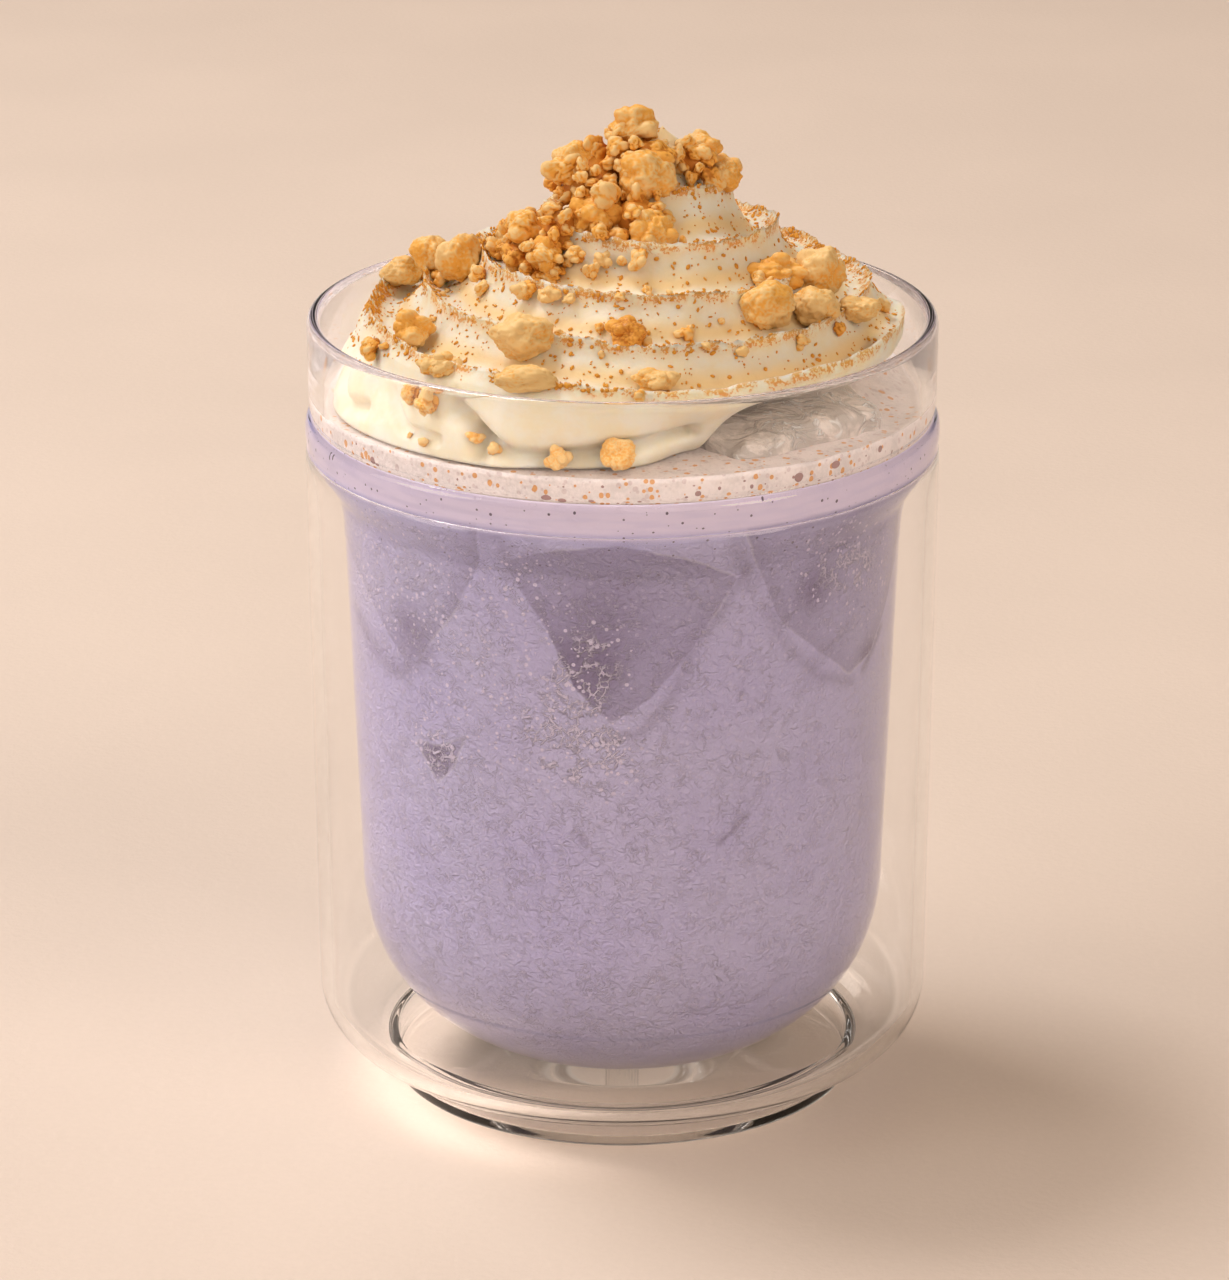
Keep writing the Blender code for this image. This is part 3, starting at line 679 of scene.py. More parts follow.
def swirl_grid(columns, rows_per_ridge):
    """Grid wound round the peak, so that one of its lines follows the swirl's crest."""
    rows = math.ceil(rows_per_ridge * (1 + RIDGES - RIDGE_START)) + 1
    bm = bmesh.new()
    crest = bm.verts.layers.float.new("crest")
    bmesh.ops.create_grid(bm, x_segments=columns, y_segments=rows, size=0.5)
    for vert in bm.verts:
        turn = round((vert.co.x + 0.5) * columns) / columns
        row = round((vert.co.y + 0.5) * rows)
        start = RIDGE_START + turn + wander(math.tau * turn)
        share = ((row - rows_per_ridge) / rows_per_ridge + start) / RIDGES
        vert.co, vert[crest] = swirl_point(turn, min(max(share, 0.0), 1.0))
    bmesh.ops.remove_doubles(bm, verts=bm.verts, dist=0.00001)
    bmesh.ops.dissolve_degenerate(bm, edges=bm.edges, dist=0.00001)
    return bm


def cream_mesh():
    """Piped swirl with its soft side and flat foot."""
    bm = swirl_grid(CREAM_COLUMNS, RIDGE_ROWS)
    crest = bm.verts.layers.float["crest"]
    for row in range(1, SIDE_ROWS + 1):
        border = [edge for edge in bm.edges if edge.is_boundary]
        grown = bmesh.ops.extrude_edge_only(bm, edges=border)
        for vert in grown["geom"]:
            if isinstance(vert, bmesh.types.BMVert):
                vert.co = cream_side(math.atan2(vert.co.y, vert.co.x), row / SIDE_ROWS)
                vert[crest] = SIDE_CREST
    border = [edge for edge in bm.edges if edge.is_boundary]
    bmesh.ops.contextual_create(bm, geom=border)
    bmesh.ops.triangulate(bm, faces=[face for face in bm.faces if len(face.verts) > 4])
    put_in_order(bm)
    return mesh_from(bm, "whipped_cream_swirl")


def random_way(draw, lean=(0.0, 0.0, 0.0)):
    """Random unit vector that may lean to a side."""
    return Vector([draw.gauss(middle, 1) for middle in lean]).normalized()


def knobs(draw, count, far, low, high):
    """Round knobs set about a lump's middle: places and radii."""
    made = []
    for _ in range(count):
        way = random_way(draw)
        made.append((way * far * draw.uniform(0.75, 1.1), draw.uniform(low, high)))
    return made


def knobby_reach(way, base, bumps, softness):
    """How far a lump with knobs reaches along a unit vector from its middle."""
    total = math.exp(base / softness)
    for place, radius in bumps:
        along = way.dot(place)
        inside = along * along - place.length_squared + radius * radius
        if inside > 0 and along > 0:
            total += math.exp((along + math.sqrt(inside)) / softness)
    return softness * math.log(total)


def shape_lump(verts, seed, flats, bumps, roughness, softness=0.03, core=1.12):
    """Shape the vertices of a unit icosphere into a broken, knobby lump round a core."""
    shift = Vector((seed * 7.31, 0, 0))
    for vert in verts:
        way = vert.co.normalized()
        base = way * 0.5
        # Uneven ball, cut by the flat broken faces, with the knobs melted on, then rough all over
        grown = base * (core + 0.25 * noise(base * 3.0 + Vector((seed, 0, 0))))
        for normal, far in flats:
            over = grown.dot(normal)
            if over > far:
                grown *= far / over
        far = knobby_reach(way, grown.length, bumps, softness)
        far += roughness * (0.06 * noise(way * 3.4 + shift) + 0.035 * noise(way * 8 + shift))
        far += roughness * 0.008 * noise(way * 19 + shift)
        vert.co = way * far


def broken_flats(draw, count):
    """Flat broken faces of a lump: directions and distances."""
    flats = []
    for _ in range(count):
        way = random_way(draw)
        flats.append((way, draw.uniform(0.30, 0.44)))
    return flats


def fit_lump(verts, size):
    """Stretch a lump's vertices to a box of the given size round the origin."""
    low = [min(vert.co[axis] for vert in verts) for axis in range(3)]
    high = [max(vert.co[axis] for vert in verts) for axis in range(3)]
    for vert in verts:
        share = [(vert.co[axis] - low[axis]) / (high[axis] - low[axis]) - 0.5 for axis in range(3)]
        vert.co = Vector([share[axis] * size[axis] for axis in range(3)])


def nugget_mesh(name, number, place, size):
    """One large candied nut, shaped like its CAD node with knobs and pits."""
    draw = random.Random(number)
    flats = broken_flats(draw, 7)
    bm = bmesh.new()
    tone = bm.verts.layers.float.new("tone")
    made = bmesh.ops.create_icosphere(bm, subdivisions=5, radius=0.5)
    extra = random.Random(900 + number)
    if number in BEADED_NUGGETS:
        bumps = knobs(extra, extra.randint(9, 13), 0.40, 0.15, 0.24)
        shape_lump(made["verts"], number, flats, bumps, 0.7, 0.016, 0.80)
    else:
        bumps = knobs(extra, extra.randint(3, 5), 0.31, 0.20, 0.30)
        shape_lump(made["verts"], number, flats[:1], bumps, 0.9, 0.035, 1.0)
    for vert in bm.verts:
        vert[tone] = NUGGET_TONES.get(number, 0.0)
    fit_lump(bm.verts, [1.05 * length for length in size])
    bmesh.ops.rotate(bm, matrix=Matrix.Rotation(draw.uniform(-0.3, 0.3), 3, "Z"), verts=bm.verts)
    bmesh.ops.translate(bm, vec=place, verts=bm.verts)
    return mesh_from(bm, name)


def random_turn(draw):
    """Random rotation matrix."""
    axis = random_way(draw)
    return Matrix.Rotation(draw.uniform(0, math.tau), 3, axis)


def add_lump(bm, draw, seed, place, size, sides, outward, base=0.0):
    """Add one small knobby lump to a bmesh, with a tone of its own and painted shade on its inner side."""
    part = bmesh.new()
    tone = part.verts.layers.float.new("tone")
    bmesh.ops.create_icosphere(part, subdivisions=sides, radius=0.5)
    bumps = knobs(draw, draw.randint(5, 10), 0.38, 0.15, 0.26)
    shape_lump(part.verts, seed, broken_flats(draw, 4), bumps, 0.8, 0.02, 0.75)
    form = draw.choice(LUMP_FORMS)
    fit_lump(part.verts, [size * share * draw.uniform(0.85, 1.15) for share in form])
    shade = base + draw.gauss(0.0, 0.07)
    bmesh.ops.rotate(part, matrix=random_turn(draw), verts=part.verts)
    for vert in part.verts:
        # Painted shade on the side that faces inwards, away from the outward direction
        vert[tone] = shade + 0.34 * max(0.0, 0.35 - vert.co.normalized().dot(outward))
    bmesh.ops.translate(part, vec=place, verts=part.verts)
    mesh = mesh_from(part, "lump")
    bm.from_mesh(mesh)
    bpy.data.meshes.remove(mesh)


def ice_distance(angle, height):
    """Signed distance in millimetres into the nearest outline of sunk ice."""
    best = FAR_FROM_ICE
    here = (math.radians(angle) * DRINK_FACE, height)
    for outline in SUNK_ICE:
        turns = [degrees for degrees, _ in outline]
        if not min(turns) - 12 < angle < max(turns) + 12:
            continue
        inside = False
        near = math.inf
        points = [(math.radians(degrees) * DRINK_FACE, up) for degrees, up in outline]
        for (ax, ay), (bx, by) in zip(points, points[1:] + points[:1]):
            near = min(near, segment_distance(here, (ax, ay), (bx, by)))
            if (ay > here[1]) != (by > here[1]):
                if here[0] < ax + (here[1] - ay) * (bx - ax) / (by - ay):
                    inside = not inside
        best = max(best, near if inside else -near)
    return best


def patch_strength(patches, angle, height):
    """Strength of soft round patches at a place on the cup."""
    total = 0.0
    for degrees, up, radius, strength in patches:
        away = math.radians((angle - degrees + 180) % 360 - 180) * DRINK_FACE
        far = math.hypot(away, height - up) / radius
        total += strength * math.exp(-far * far)
    return min(1.0, total)


def drink_mesh():
    """Drink up to the foam, just reaching into the cup's wall, with its sunk ice marked."""
    profile = cup_inside(-INTO_WALL)
    # Close rows up the straight wall, fine enough for the edges of the sunk ice
    straight = [profile[-3]]
    for start, end in zip(profile[-3:], profile[-2:]):
        steps = max(1, round((end[1] - start[1]) / DRINK_ROW))
        for step in range(1, steps + 1):
            straight.append(between(start, end, step / steps))
    line = profile[:-3] + [point for point in straight if point[1] < FOAM_LOW - 0.05 * MM]
    line.append((straight[-1][0], FOAM_LOW))
    line.append((0.0, FOAM_LOW))
    bm = spun(line, DRINK_SIDES)
    depth = bm.verts.layers.float.new("ice_depth")
    shade = bm.verts.layers.float.new("ice_shade")
    blur = bm.verts.layers.float.new("ice_blur")
    frost = bm.verts.layers.float.new("frost")
    for vert in bm.verts:
        if vert.co.z < ICE_LOW:
            vert[depth] = FAR_FROM_ICE
            continue
        angle = math.degrees(math.atan2(vert.co.y, vert.co.x))
        vert[depth] = ice_distance(angle, vert.co.z / MM)
        vert[shade] = patch_strength(ICE_SHADES, angle, vert.co.z / MM)
        vert[blur] = min(1.0, line_depth(ICE_BLURS, angle, vert.co.z / MM, DRINK_FACE))
        vert[frost] = patch_strength(FROST_PATCHES, angle, vert.co.z / MM)
    return mesh_from(bm, "horchata_drink")


def foam_mesh():
    """Foam between the drink and the cream, with a soft bubbly top that climbs the wall a little."""
    radius = COLLAR_LOW_RADIUS + INTO_WALL
    foot = (radius, FOAM_LOW)
    brim = (radius + 0.02 * MM, FOAM_TOP)
    line = [(0.0, FOAM_LOW), foot]
    line += [between(foot, brim, step / FOAM_ROWS) for step in range(1, FOAM_ROWS + 1)]
    line += [(radius * (1 - step / FOAM_RINGS), FOAM_TOP) for step in range(1, FOAM_RINGS)]
    line.append((0.0, FOAM_TOP))
    bm = spun(line, FOAM_SIDES)
    for vert in bm.verts:
        if vert.co.z > FOAM_TOP - 0.1 * MM:
            out = math.hypot(vert.co.x, vert.co.y)
            climb = FOAM_CLIMB * max(0.0, 1 - (COLLAR_LOW_RADIUS - out) / (1.2 * MM))
            ripple = FOAM_RIPPLE * fractal(vert.co * 260, 1.0, 2.0, 3)
            vert.co.z += climb + ripple - 0.12 * MM
    return mesh_from(bm, "foam_layer")


def bubble_mesh():
    """Bubbles and pores that show at the foam's side."""
    draw = random.Random(12)
    spots = list(FOAM_BUBBLES)
    for _ in range(SMALL_BUBBLES):
        spots.append((draw.uniform(-180, 180), draw.uniform(96.6, 99.6), draw.choice(SMALL_BUBBLE_SIZES)))
    bm = bmesh.new()
    for degrees, up, radius in spots:
        made = bmesh.ops.create_icosphere(bm, subdivisions=2, radius=radius * MM)
        bmesh.ops.scale(bm, vec=(0.12, draw.uniform(0.8, 1.2), draw.uniform(0.7, 1.0)), verts=made["verts"])
        bmesh.ops.translate(bm, vec=(COLLAR_LOW_RADIUS + INTO_WALL, 0, up * MM), verts=made["verts"])
        turn = Matrix.Rotation(math.radians(degrees), 3, "Z")
        bmesh.ops.rotate(bm, matrix=turn, verts=made["verts"])
    return mesh_from(bm, "foam_bubbles")


def ice_mesh():
    """Half-melted ice cube with soft hollows and edges."""
    bm = bmesh.new()
    bmesh.ops.create_cube(bm, size=1.0)
    bmesh.ops.bevel(bm, geom=bm.edges, offset=0.16, segments=3, profile=0.5, affect="EDGES", material=-1)
    bmesh.ops.subdivide_edges(bm, edges=bm.edges, cuts=5, use_grid_fill=True)
    for _ in range(4):
        bmesh.ops.smooth_vert(
            bm, verts=bm.verts, factor=0.5, use_axis_x=True, use_axis_y=True, use_axis_z=True,
        )
    bmesh.ops.scale(bm, vec=ICE_SIZE, verts=bm.verts)
    bm.normal_update()
    moves = [vert.normal * 0.8 * MM * fractal(vert.co * 190, 1.0, 2.0, 3) for vert in bm.verts]
    for vert, move in zip(bm.verts, moves):
        vert.co += move
    for axis, angle in zip("XYZ", ICE_TURN):
        bmesh.ops.rotate(bm, matrix=Matrix.Rotation(angle, 3, axis), verts=bm.verts)
    bmesh.ops.translate(bm, vec=ICE_PLACE, verts=bm.verts)
    put_in_order(bm)
    return mesh_from(bm, "floating_ice")


# Materials

def fill_sockets(tree, node, values):
    """Fill a node's inputs, by name or number, with constants or other nodes' outputs."""
    for name, value in values.items():
        if isinstance(value, bpy.types.NodeSocket):
            tree.links.new(value, node.inputs[name])
        else:
            node.inputs[name].default_value = value


def add_node(tree, kind, values=None, **settings):
    """Add a node with some settings and fill its inputs."""
    made = tree.nodes.new(kind)
    for name, value in settings.items():
        setattr(made, name, value)
    fill_sockets(tree, made, values or {})
    return made


def solid(colour, share=1.0):
    """Colour with alpha for a socket, made darker or lighter by a share."""
    return (*[min(1.0, share * part) for part in colour], 1.0)


def calculate(tree, operation, first, second=0.0, third=0.0):
    """Output of a Math node."""
    made = add_node(tree, "ShaderNodeMath", {0: first, 1: second, 2: third}, operation=operation)
    return made.outputs[0]


def product(tree, first, second):
    """Product of two values."""
    return calculate(tree, "MULTIPLY", first, second)


def ranged(tree, value, low, high, start=0.0, end=1.0):
    """Output of a smooth Map Range node."""
    made = add_node(
        tree, "ShaderNodeMapRange", {0: value, 1: low, 2: high, 3: start, 4: end},
        interpolation_type="SMOOTHSTEP",
    )
    return made.outputs[0]


def mixed(tree, factor, first, second):
    """Output of a colour Mix node."""
    made = add_node(tree, "ShaderNodeMix", {0: factor, 6: first, 7: second}, data_type="RGBA")
    return made.outputs[2]


def object_place(tree, stretch=(1.0, 1.0, 1.0), turn=(0.0, 0.0, 0.0)):
    """Object coordinates, turned and stretched."""
    place = add_node(tree, "ShaderNodeTexCoord").outputs["Object"]
    made = add_node(tree, "ShaderNodeMapping", {"Vector": place, "Rotation": turn, "Scale": stretch})
    return made.outputs[0]


def noise_field(tree, place, scale, detail=2.0, roughness=0.5, distortion=0.0):
    """Factor of a Noise Texture."""
    made = add_node(tree, "ShaderNodeTexNoise", {
        "Vector": place, "Scale": scale, "Detail": detail, "Roughness": roughness, "Distortion": distortion,
    })
    return made.outputs["Fac"]


def cells(tree, place, scale, feature="F1"):
    """Distance of a Voronoi Texture."""
    made = add_node(tree, "ShaderNodeTexVoronoi", {"Vector": place, "Scale": scale}, feature=feature)
    return made.outputs["Distance"]


def bumped(tree, height, distance):
    """Normal from a height, at full strength."""
    made = add_node(tree, "ShaderNodeBump", {"Height": height, "Distance": distance, "Strength": 1.0})
    return made.outputs["Normal"]


def new_material(name):
    """Material with an empty node tree holding a Principled BSDF and its output."""
    material = bpy.data.materials.new(name)
    material.use_nodes = True
    tree = material.node_tree
    return material, tree, tree.nodes["Principled BSDF"]


def place_group(tree, group, values):
    """Place a node group in a material, fill its inputs and return its outputs."""
    made = add_node(tree, "ShaderNodeGroup")
    made.node_tree = group
    fill_sockets(tree, made, values)
    return made.outputs


def new_group(name, inputs, outputs):
    """Shader node group with named float inputs and outputs; returns the tree, its input and output nodes."""
    tree = bpy.data.node_groups.new(name, "ShaderNodeTree")
    for label, default in inputs:
        made = tree.interface.new_socket(label, in_out="INPUT", socket_type="NodeSocketFloat")
        made.default_value = default
    for label in outputs:
        tree.interface.new_socket(label, in_out="OUTPUT", socket_type="NodeSocketFloat")
    return tree, tree.nodes.new("NodeGroupInput"), tree.nodes.new("NodeGroupOutput")


def speck_group():
    """Small scattered specks: Mask is 1 in a speck. Scale is specks a metre, Size their share of a cell."""
    found = bpy.data.node_groups.get("scattered_specks")
    if found:
        return found
    tree, given, result = new_group(
        "scattered_specks", (("Scale", 600.0), ("Size", 0.2), ("Amount", 0.5)), ("Mask",),
    )
    place = object_place(tree)
    voronoi = add_node(tree, "ShaderNodeTexVoronoi", {"Vector": place, "Scale": given.outputs["Scale"]})
    pick = add_node(tree, "ShaderNodeSeparateColor", {0: voronoi.outputs["Color"]})
    chosen = calculate(tree, "LESS_THAN", pick.outputs[0], given.outputs["Amount"])
    size = product(tree, given.outputs["Size"], pick.outputs[1])
    spot = calculate(tree, "LESS_THAN", voronoi.outputs["Distance"], size)
    mask = product(tree, chosen, spot)
    tree.links.new(mask, result.inputs["Mask"])
    return tree


def specks(tree, scale, size, amount):
    """Mask of scattered specks."""
    return place_group(tree, speck_group(), {"Scale": scale, "Size": size, "Amount": amount})["Mask"]


def mottle_group():
    """Soft blotches over fine grain: Value is their mix and Grain the fine part alone."""
    found = bpy.data.node_groups.get("mottled_grain")
    if found:
        return found
    tree, given, result = new_group(
        "mottled_grain", (("Blotch", 300.0), ("Grain", 2500.0), ("Share", 0.4)), ("Value", "Grain"),
    )
    place = object_place(tree)
    blotch = noise_field(tree, place, given.outputs["Blotch"], 2.0)
    grain = noise_field(tree, place, given.outputs["Grain"], 3.0, 0.6)
    keep = calculate(tree, "SUBTRACT", 1.0, given.outputs["Share"])
    fine = product(tree, grain, given.outputs["Share"])
    value = calculate(tree, "ADD", product(tree, blotch, keep), fine)
    tree.links.new(value, result.inputs["Value"])
    tree.links.new(grain, result.inputs["Grain"])
    return tree


def mottle(tree, blotch, grain, share):
    """Mixed value and fine grain of the mottled grain group."""
    made = place_group(tree, mottle_group(), {"Blotch": blotch, "Grain": grain, "Share": share})
    return made["Value"], made["Grain"]


def lighten_shadow(tree, shader, colour):
    """Let light through a clear material, tinted by a colour, instead of a full shadow."""
    through = add_node(tree, "ShaderNodeBsdfTransparent", {"Color": solid(colour)})
    path = add_node(tree, "ShaderNodeLightPath")
    mix = add_node(tree, "ShaderNodeMixShader", {
        0: path.outputs["Is Shadow Ray"], 1: shader.outputs[0], 2: through.outputs[0],
    })
    tree.links.new(mix.outputs[0], tree.nodes["Material Output"].inputs["Surface"])


def glass_material(tint):
    """Clear glass whose shadow stays light."""
    material, tree, shader = new_material("clear_borosilicate")
    fill_sockets(tree, shader, {
        "Base Color": solid(tint), "Roughness": 0.0, "IOR": 1.47, "Transmission Weight": 1.0,
    })
    lighten_shadow(tree, shader, (0.985, 0.97, 0.955))
    return material


def silicone_material(colour):
    """Translucent silicone with a faint grain."""
    material, tree, shader = new_material("clear_silicone")
    value, grain = mottle(tree, 400.0, 3000.0, 0.3)
    darker = solid(colour, 0.92)
    fill_sockets(tree, shader, {
        "Base Color": mixed(tree, value, solid(colour), darker), "Roughness": 0.03,
        "IOR": 1.44, "Transmission Weight": 1.0, "Normal": bumped(tree, grain, 0.00001),
    })
    return material


def read_attribute(tree, name):
    """Value of a mesh's own attribute."""
    return add_node(tree, "ShaderNodeAttribute", attribute_name=name).outputs["Fac"]


def contour_group():
    """Thin wavy lines: Mask is 1 where Field crosses its middle, in lines of a given Width."""
    found = bpy.data.node_groups.get("contour_lines")
    if found:
        return found
    tree, given, result = new_group("contour_lines", (("Field", 0.5), ("Width", 0.04)), ("Mask",))
    off = calculate(tree, "ABSOLUTE", calculate(tree, "SUBTRACT", given.outputs["Field"], 0.5))
    core = product(tree, given.outputs["Width"], 0.25)
    tree.links.new(ranged(tree, off, given.outputs["Width"], core), result.inputs["Mask"])
    return tree


def contour_lines(tree, field, width):
    """Mask of the thin lines where a field crosses its middle."""
    return place_group(tree, contour_group(), {"Field": field, "Width": width})["Mask"]


def drink_material(settings):
    """Milky drink with sunk ice painted as darker shade, frost, droplets with painted highlights, a painted
    reflection under the collar's join and a fine wavy relief against the cup.
    """
    material, tree, shader = new_material("purple_horchata")
    place = object_place(tree)
    depth = read_attribute(tree, "ice_depth")
    dark = read_attribute(tree, "ice_shade")
    blur = read_attribute(tree, "ice_blur")
    frost = read_attribute(tree, "frost")
    high = add_node(tree, "ShaderNodeSeparateXYZ", {0: place}).outputs[2]
    wobble = calculate(tree, "MULTIPLY_ADD", noise_field(tree, place, 300.0, 1.0), 0.8, -0.4)
    # The sunk ice is painted as darker drink: painted shade inside its outlines, darker near their edges,
    # with blurred painted shade round them
    edge = calculate(tree, "ADD", depth, wobble)
    inside = ranged(tree, edge, -0.25, 0.2)
    ice_edge_painted_shade = ranged(tree, edge, 3.5, 0.0, 0.0, 0.18)
    shade = calculate(tree, "ADD", calculate(tree, "MULTIPLY_ADD", dark, 0.74, 0.25), ice_edge_painted_shade)
    ice_painted_shade = product(tree, inside, shade)
    ice_painted_shade = calculate(tree, "MAXIMUM", ice_painted_shade, product(tree, blur, 0.9))
    cloud = noise_field(tree, place, 70.0, 1.0)
    body = mixed(tree, ranged(tree, cloud, 0.3, 0.7, 0.0, 0.08), solid(settings.horchata), (1, 1, 1, 1))
    body = mixed(tree, ice_painted_shade, body, solid(settings.ice_shade))
    outline = ranged(tree, calculate(tree, "ABSOLUTE", edge), 0.30, 0.12)
    rim = product(tree, outline, ranged(tree, cloud, 0.45, 0.6, 0.0, 0.32))
    body = mixed(tree, rim, body, RIM_COLOUR)
    # Paler streaky band just under the collar's join: a painted reflection of the glass there
    streak = noise_field(tree, object_place(tree, (1.0, 1.0, 7.0)), 150.0, 1.0)
    band = product(tree, ranged(tree, high, 0.0914, 0.0930), ranged(tree, streak, 0.3, 0.6, 0.8, 1.0))
    body = mixed(tree, band, body, FROST_AND_PAINTED_HIGHLIGHT_COLOUR)
    relief = noise_field(tree, object_place(tree, (1.0, 1.0, 1.15)), 1100.0, 2.0, 0.5, 0.8)
    crooked = add_node(tree, "ShaderNodeVectorMath", {
        0: relief, 1: (0.0012, -0.0012, 0.0016), 2: place,
    }, operation="MULTIPLY_ADD").outputs["Vector"]
    clump = noise_field(tree, place, 450.0, 1.0)
    strokes = product(tree, contour_lines(tree, relief, 0.035), ranged(tree, clump, 0.46, 0.62))
    web = ranged(tree, cells(tree, crooked, 800.0, "DISTANCE_TO_EDGE"), 0.12, 0.04)
    web = product(tree, web, ranged(tree, clump, 0.42, 0.55))
    net = product(tree, calculate(tree, "MAXIMUM", web, strokes), ranged(tree, frost, 0.40, 0.65))
    # The lighter dots on the droplets are painted highlights; the frost lines are the frost's own colour
    wet = ranged(tree, frost, 0.04, 0.25, 0.25, 1.0)
    painted_drop_glints = product(tree, specks(tree, 1300.0, 0.42, 0.72), wet)
    calm = ranged(tree, high, 0.0890, 0.0925, 1.0, 0.1)
    lines = calculate(tree, "MAXIMUM", net, product(tree, strokes, 0.5))
    pale = product(tree, calculate(tree, "MAXIMUM", painted_drop_glints, lines), calm)
    body = mixed(tree, product(tree, pale, 0.90), body, FROST_AND_PAINTED_HIGHLIGHT_COLOUR)
    fleck = product(tree, specks(tree, 1100.0, 0.24, 0.5), ranged(tree, high, 0.078, 0.092, 0.05, 0.9))
    body = mixed(tree, fleck, body, FLECK_COLOUR)
    height = calculate(tree, "ADD", product(tree, relief, calm), product(tree, pale, 0.9))
    fill_sockets(tree, shader, {
        "Base Color": body, "Roughness": ranged(tree, pale, 0.0, 1.0, 0.42, 0.22), "Specular IOR Level": 0.4,
        "Normal": bumped(tree, height, 0.0005),
    })
    return material


def foam_material(settings, cinnamon):
    """Pinkish foam with pores and cinnamon specks."""
    material, tree, shader = new_material("pink_foam")
    place = object_place(tree)
    value, grain = mottle(tree, 260.0, 2200.0, 0.4)
    greyer = solid(settings.foam, 0.84)
    body = mixed(tree, ranged(tree, value, 0.35, 0.6), greyer, solid(settings.foam))
    pores = specks(tree, 1300.0, 0.5, 0.6)
    body = mixed(tree, product(tree, pores, 0.35), body, (0.55, 0.36, 0.36, 1))
    dust = specks(tree, 900.0, 0.42, 0.7)
    body = mixed(tree, product(tree, dust, 0.85), body, solid(cinnamon))
    froth = cells(tree, place, 1300.0, "SMOOTH_F1")
    fill_sockets(tree, shader, {
        "Base Color": body, "Roughness": 0.42, "Specular IOR Level": 0.35,
        "Normal": bumped(tree, calculate(tree, "ADD", froth, grain), 0.00012),
    })
    return material


def ice_material(colour):
    """Wet melting ice, part clear and part frosted, with white crack lines and white patches that are partly
    painted reflection streaks.
    """
    material, tree, shader = new_material("melting_ice")
    place = object_place(tree, (1.0, 1.6, 1.3), (0.4, 0.3, 0.2))
    shards = noise_field(tree, place, 190.0, 3.0, 0.55, 1.5)
    cracks_and_painted_streaks = product(tree, contour_lines(tree, shards, 0.022),
                       ranged(tree, noise_field(tree, place, 130.0, 2.0), 0.42, 0.58))
    cloud = ranged(tree, noise_field(tree, place, 260.0, 4.0), 0.46, 0.62)
    clear = solid(colour, 0.68)
    body = mixed(tree, cloud, clear, solid(colour))
    # The white patches and crack lines are partly the ice's cracks and partly painted reflection streaks
    body = mixed(tree, ranged(tree, shards, 0.62, 0.74), body, (0.95, 0.93, 0.92, 1))
    body = mixed(tree, cracks_and_painted_streaks, body, (1, 1, 1, 1))
    fill_sockets(tree, shader, {
        "Base Color": body, "Roughness": ranged(tree, cloud, 0.0, 1.0, 0.04, 0.22), "IOR": 1.5,
        "Transmission Weight": 0.2,
        "Normal": bumped(tree, calculate(tree, "ADD", shards, product(tree, cracks_and_painted_streaks, 0.3)), 0.0012),
    })
    lighten_shadow(tree, shader, (0.7, 0.66, 0.64))
    return material


def bubble_material(colour):
    """Wet inside of a foam bubble."""
    material, tree, shader = new_material("foam_bubble")
    value, grain = mottle(tree, 700.0, 3000.0, 0.3)
    lighter = solid(colour, 1.6)
    fill_sockets(tree, shader, {
        "Base Color": mixed(tree, value, solid(colour), lighter), "Roughness": 0.12,
        "Normal": bumped(tree, grain, 0.00002),
    })
    return material


def cream_material(settings):
    """Soft whipped cream, dusted with cinnamon along its crests, with painted shade in its valleys."""
    material, tree, shader = new_material("whipped_cream_finish")
    place = object_place(tree)
    crest = read_attribute(tree, "crest")
    value, grain = mottle(tree, 220.0, 1800.0, 0.25)
    warm = solid((settings.cream[0], 0.93 * settings.cream[1], 0.80 * settings.cream[2]))
    body = mixed(tree, ranged(tree, value, 0.35, 0.65), solid(settings.cream), warm)
    # Painted shade: the cream turns warm and darker in the valleys between the crests
    valley_painted_shade = ranged(tree, crest, 0.46, 0.0, 0.0, 0.90)
    body = mixed(tree, valley_painted_shade, body, solid(settings.valley_painted_shade))
    patch = noise_field(tree, place, 420.0, 4.0, 0.65)
    reach_up = product(tree, ranged(tree, crest, 0.52, 0.88), ranged(tree, patch, 0.36, 0.52))
    fine = noise_field(tree, place, 2300.0, 3.0, 0.7)
    level = calculate(tree, "SUBTRACT", 0.80, product(tree, reach_up, 0.35))
    dust = ranged(tree, calculate(tree, "SUBTRACT", fine, level), -0.02, 0.05)
    stain = product(tree, reach_up, 0.42)
    body = mixed(tree, stain, body, (0.88, 0.52, 0.18, 1))
    body = mixed(tree, product(tree, dust, 0.85), body, solid(settings.cinnamon))
    soft = noise_field(tree, place, 380.0, 3.0)
    height = calculate(tree, "ADD", soft, product(tree, grain, 0.12))
    fill_sockets(tree, shader, {
        "Base Color": body, "Roughness": 0.45, "Specular IOR Level": 0.22, "Subsurface Weight": 0.45,
        "Subsurface Radius": (1.0, 0.75, 0.5), "Subsurface Scale": 0.0022,
        "Normal": bumped(tree, height, 0.0002),
    })
    return material


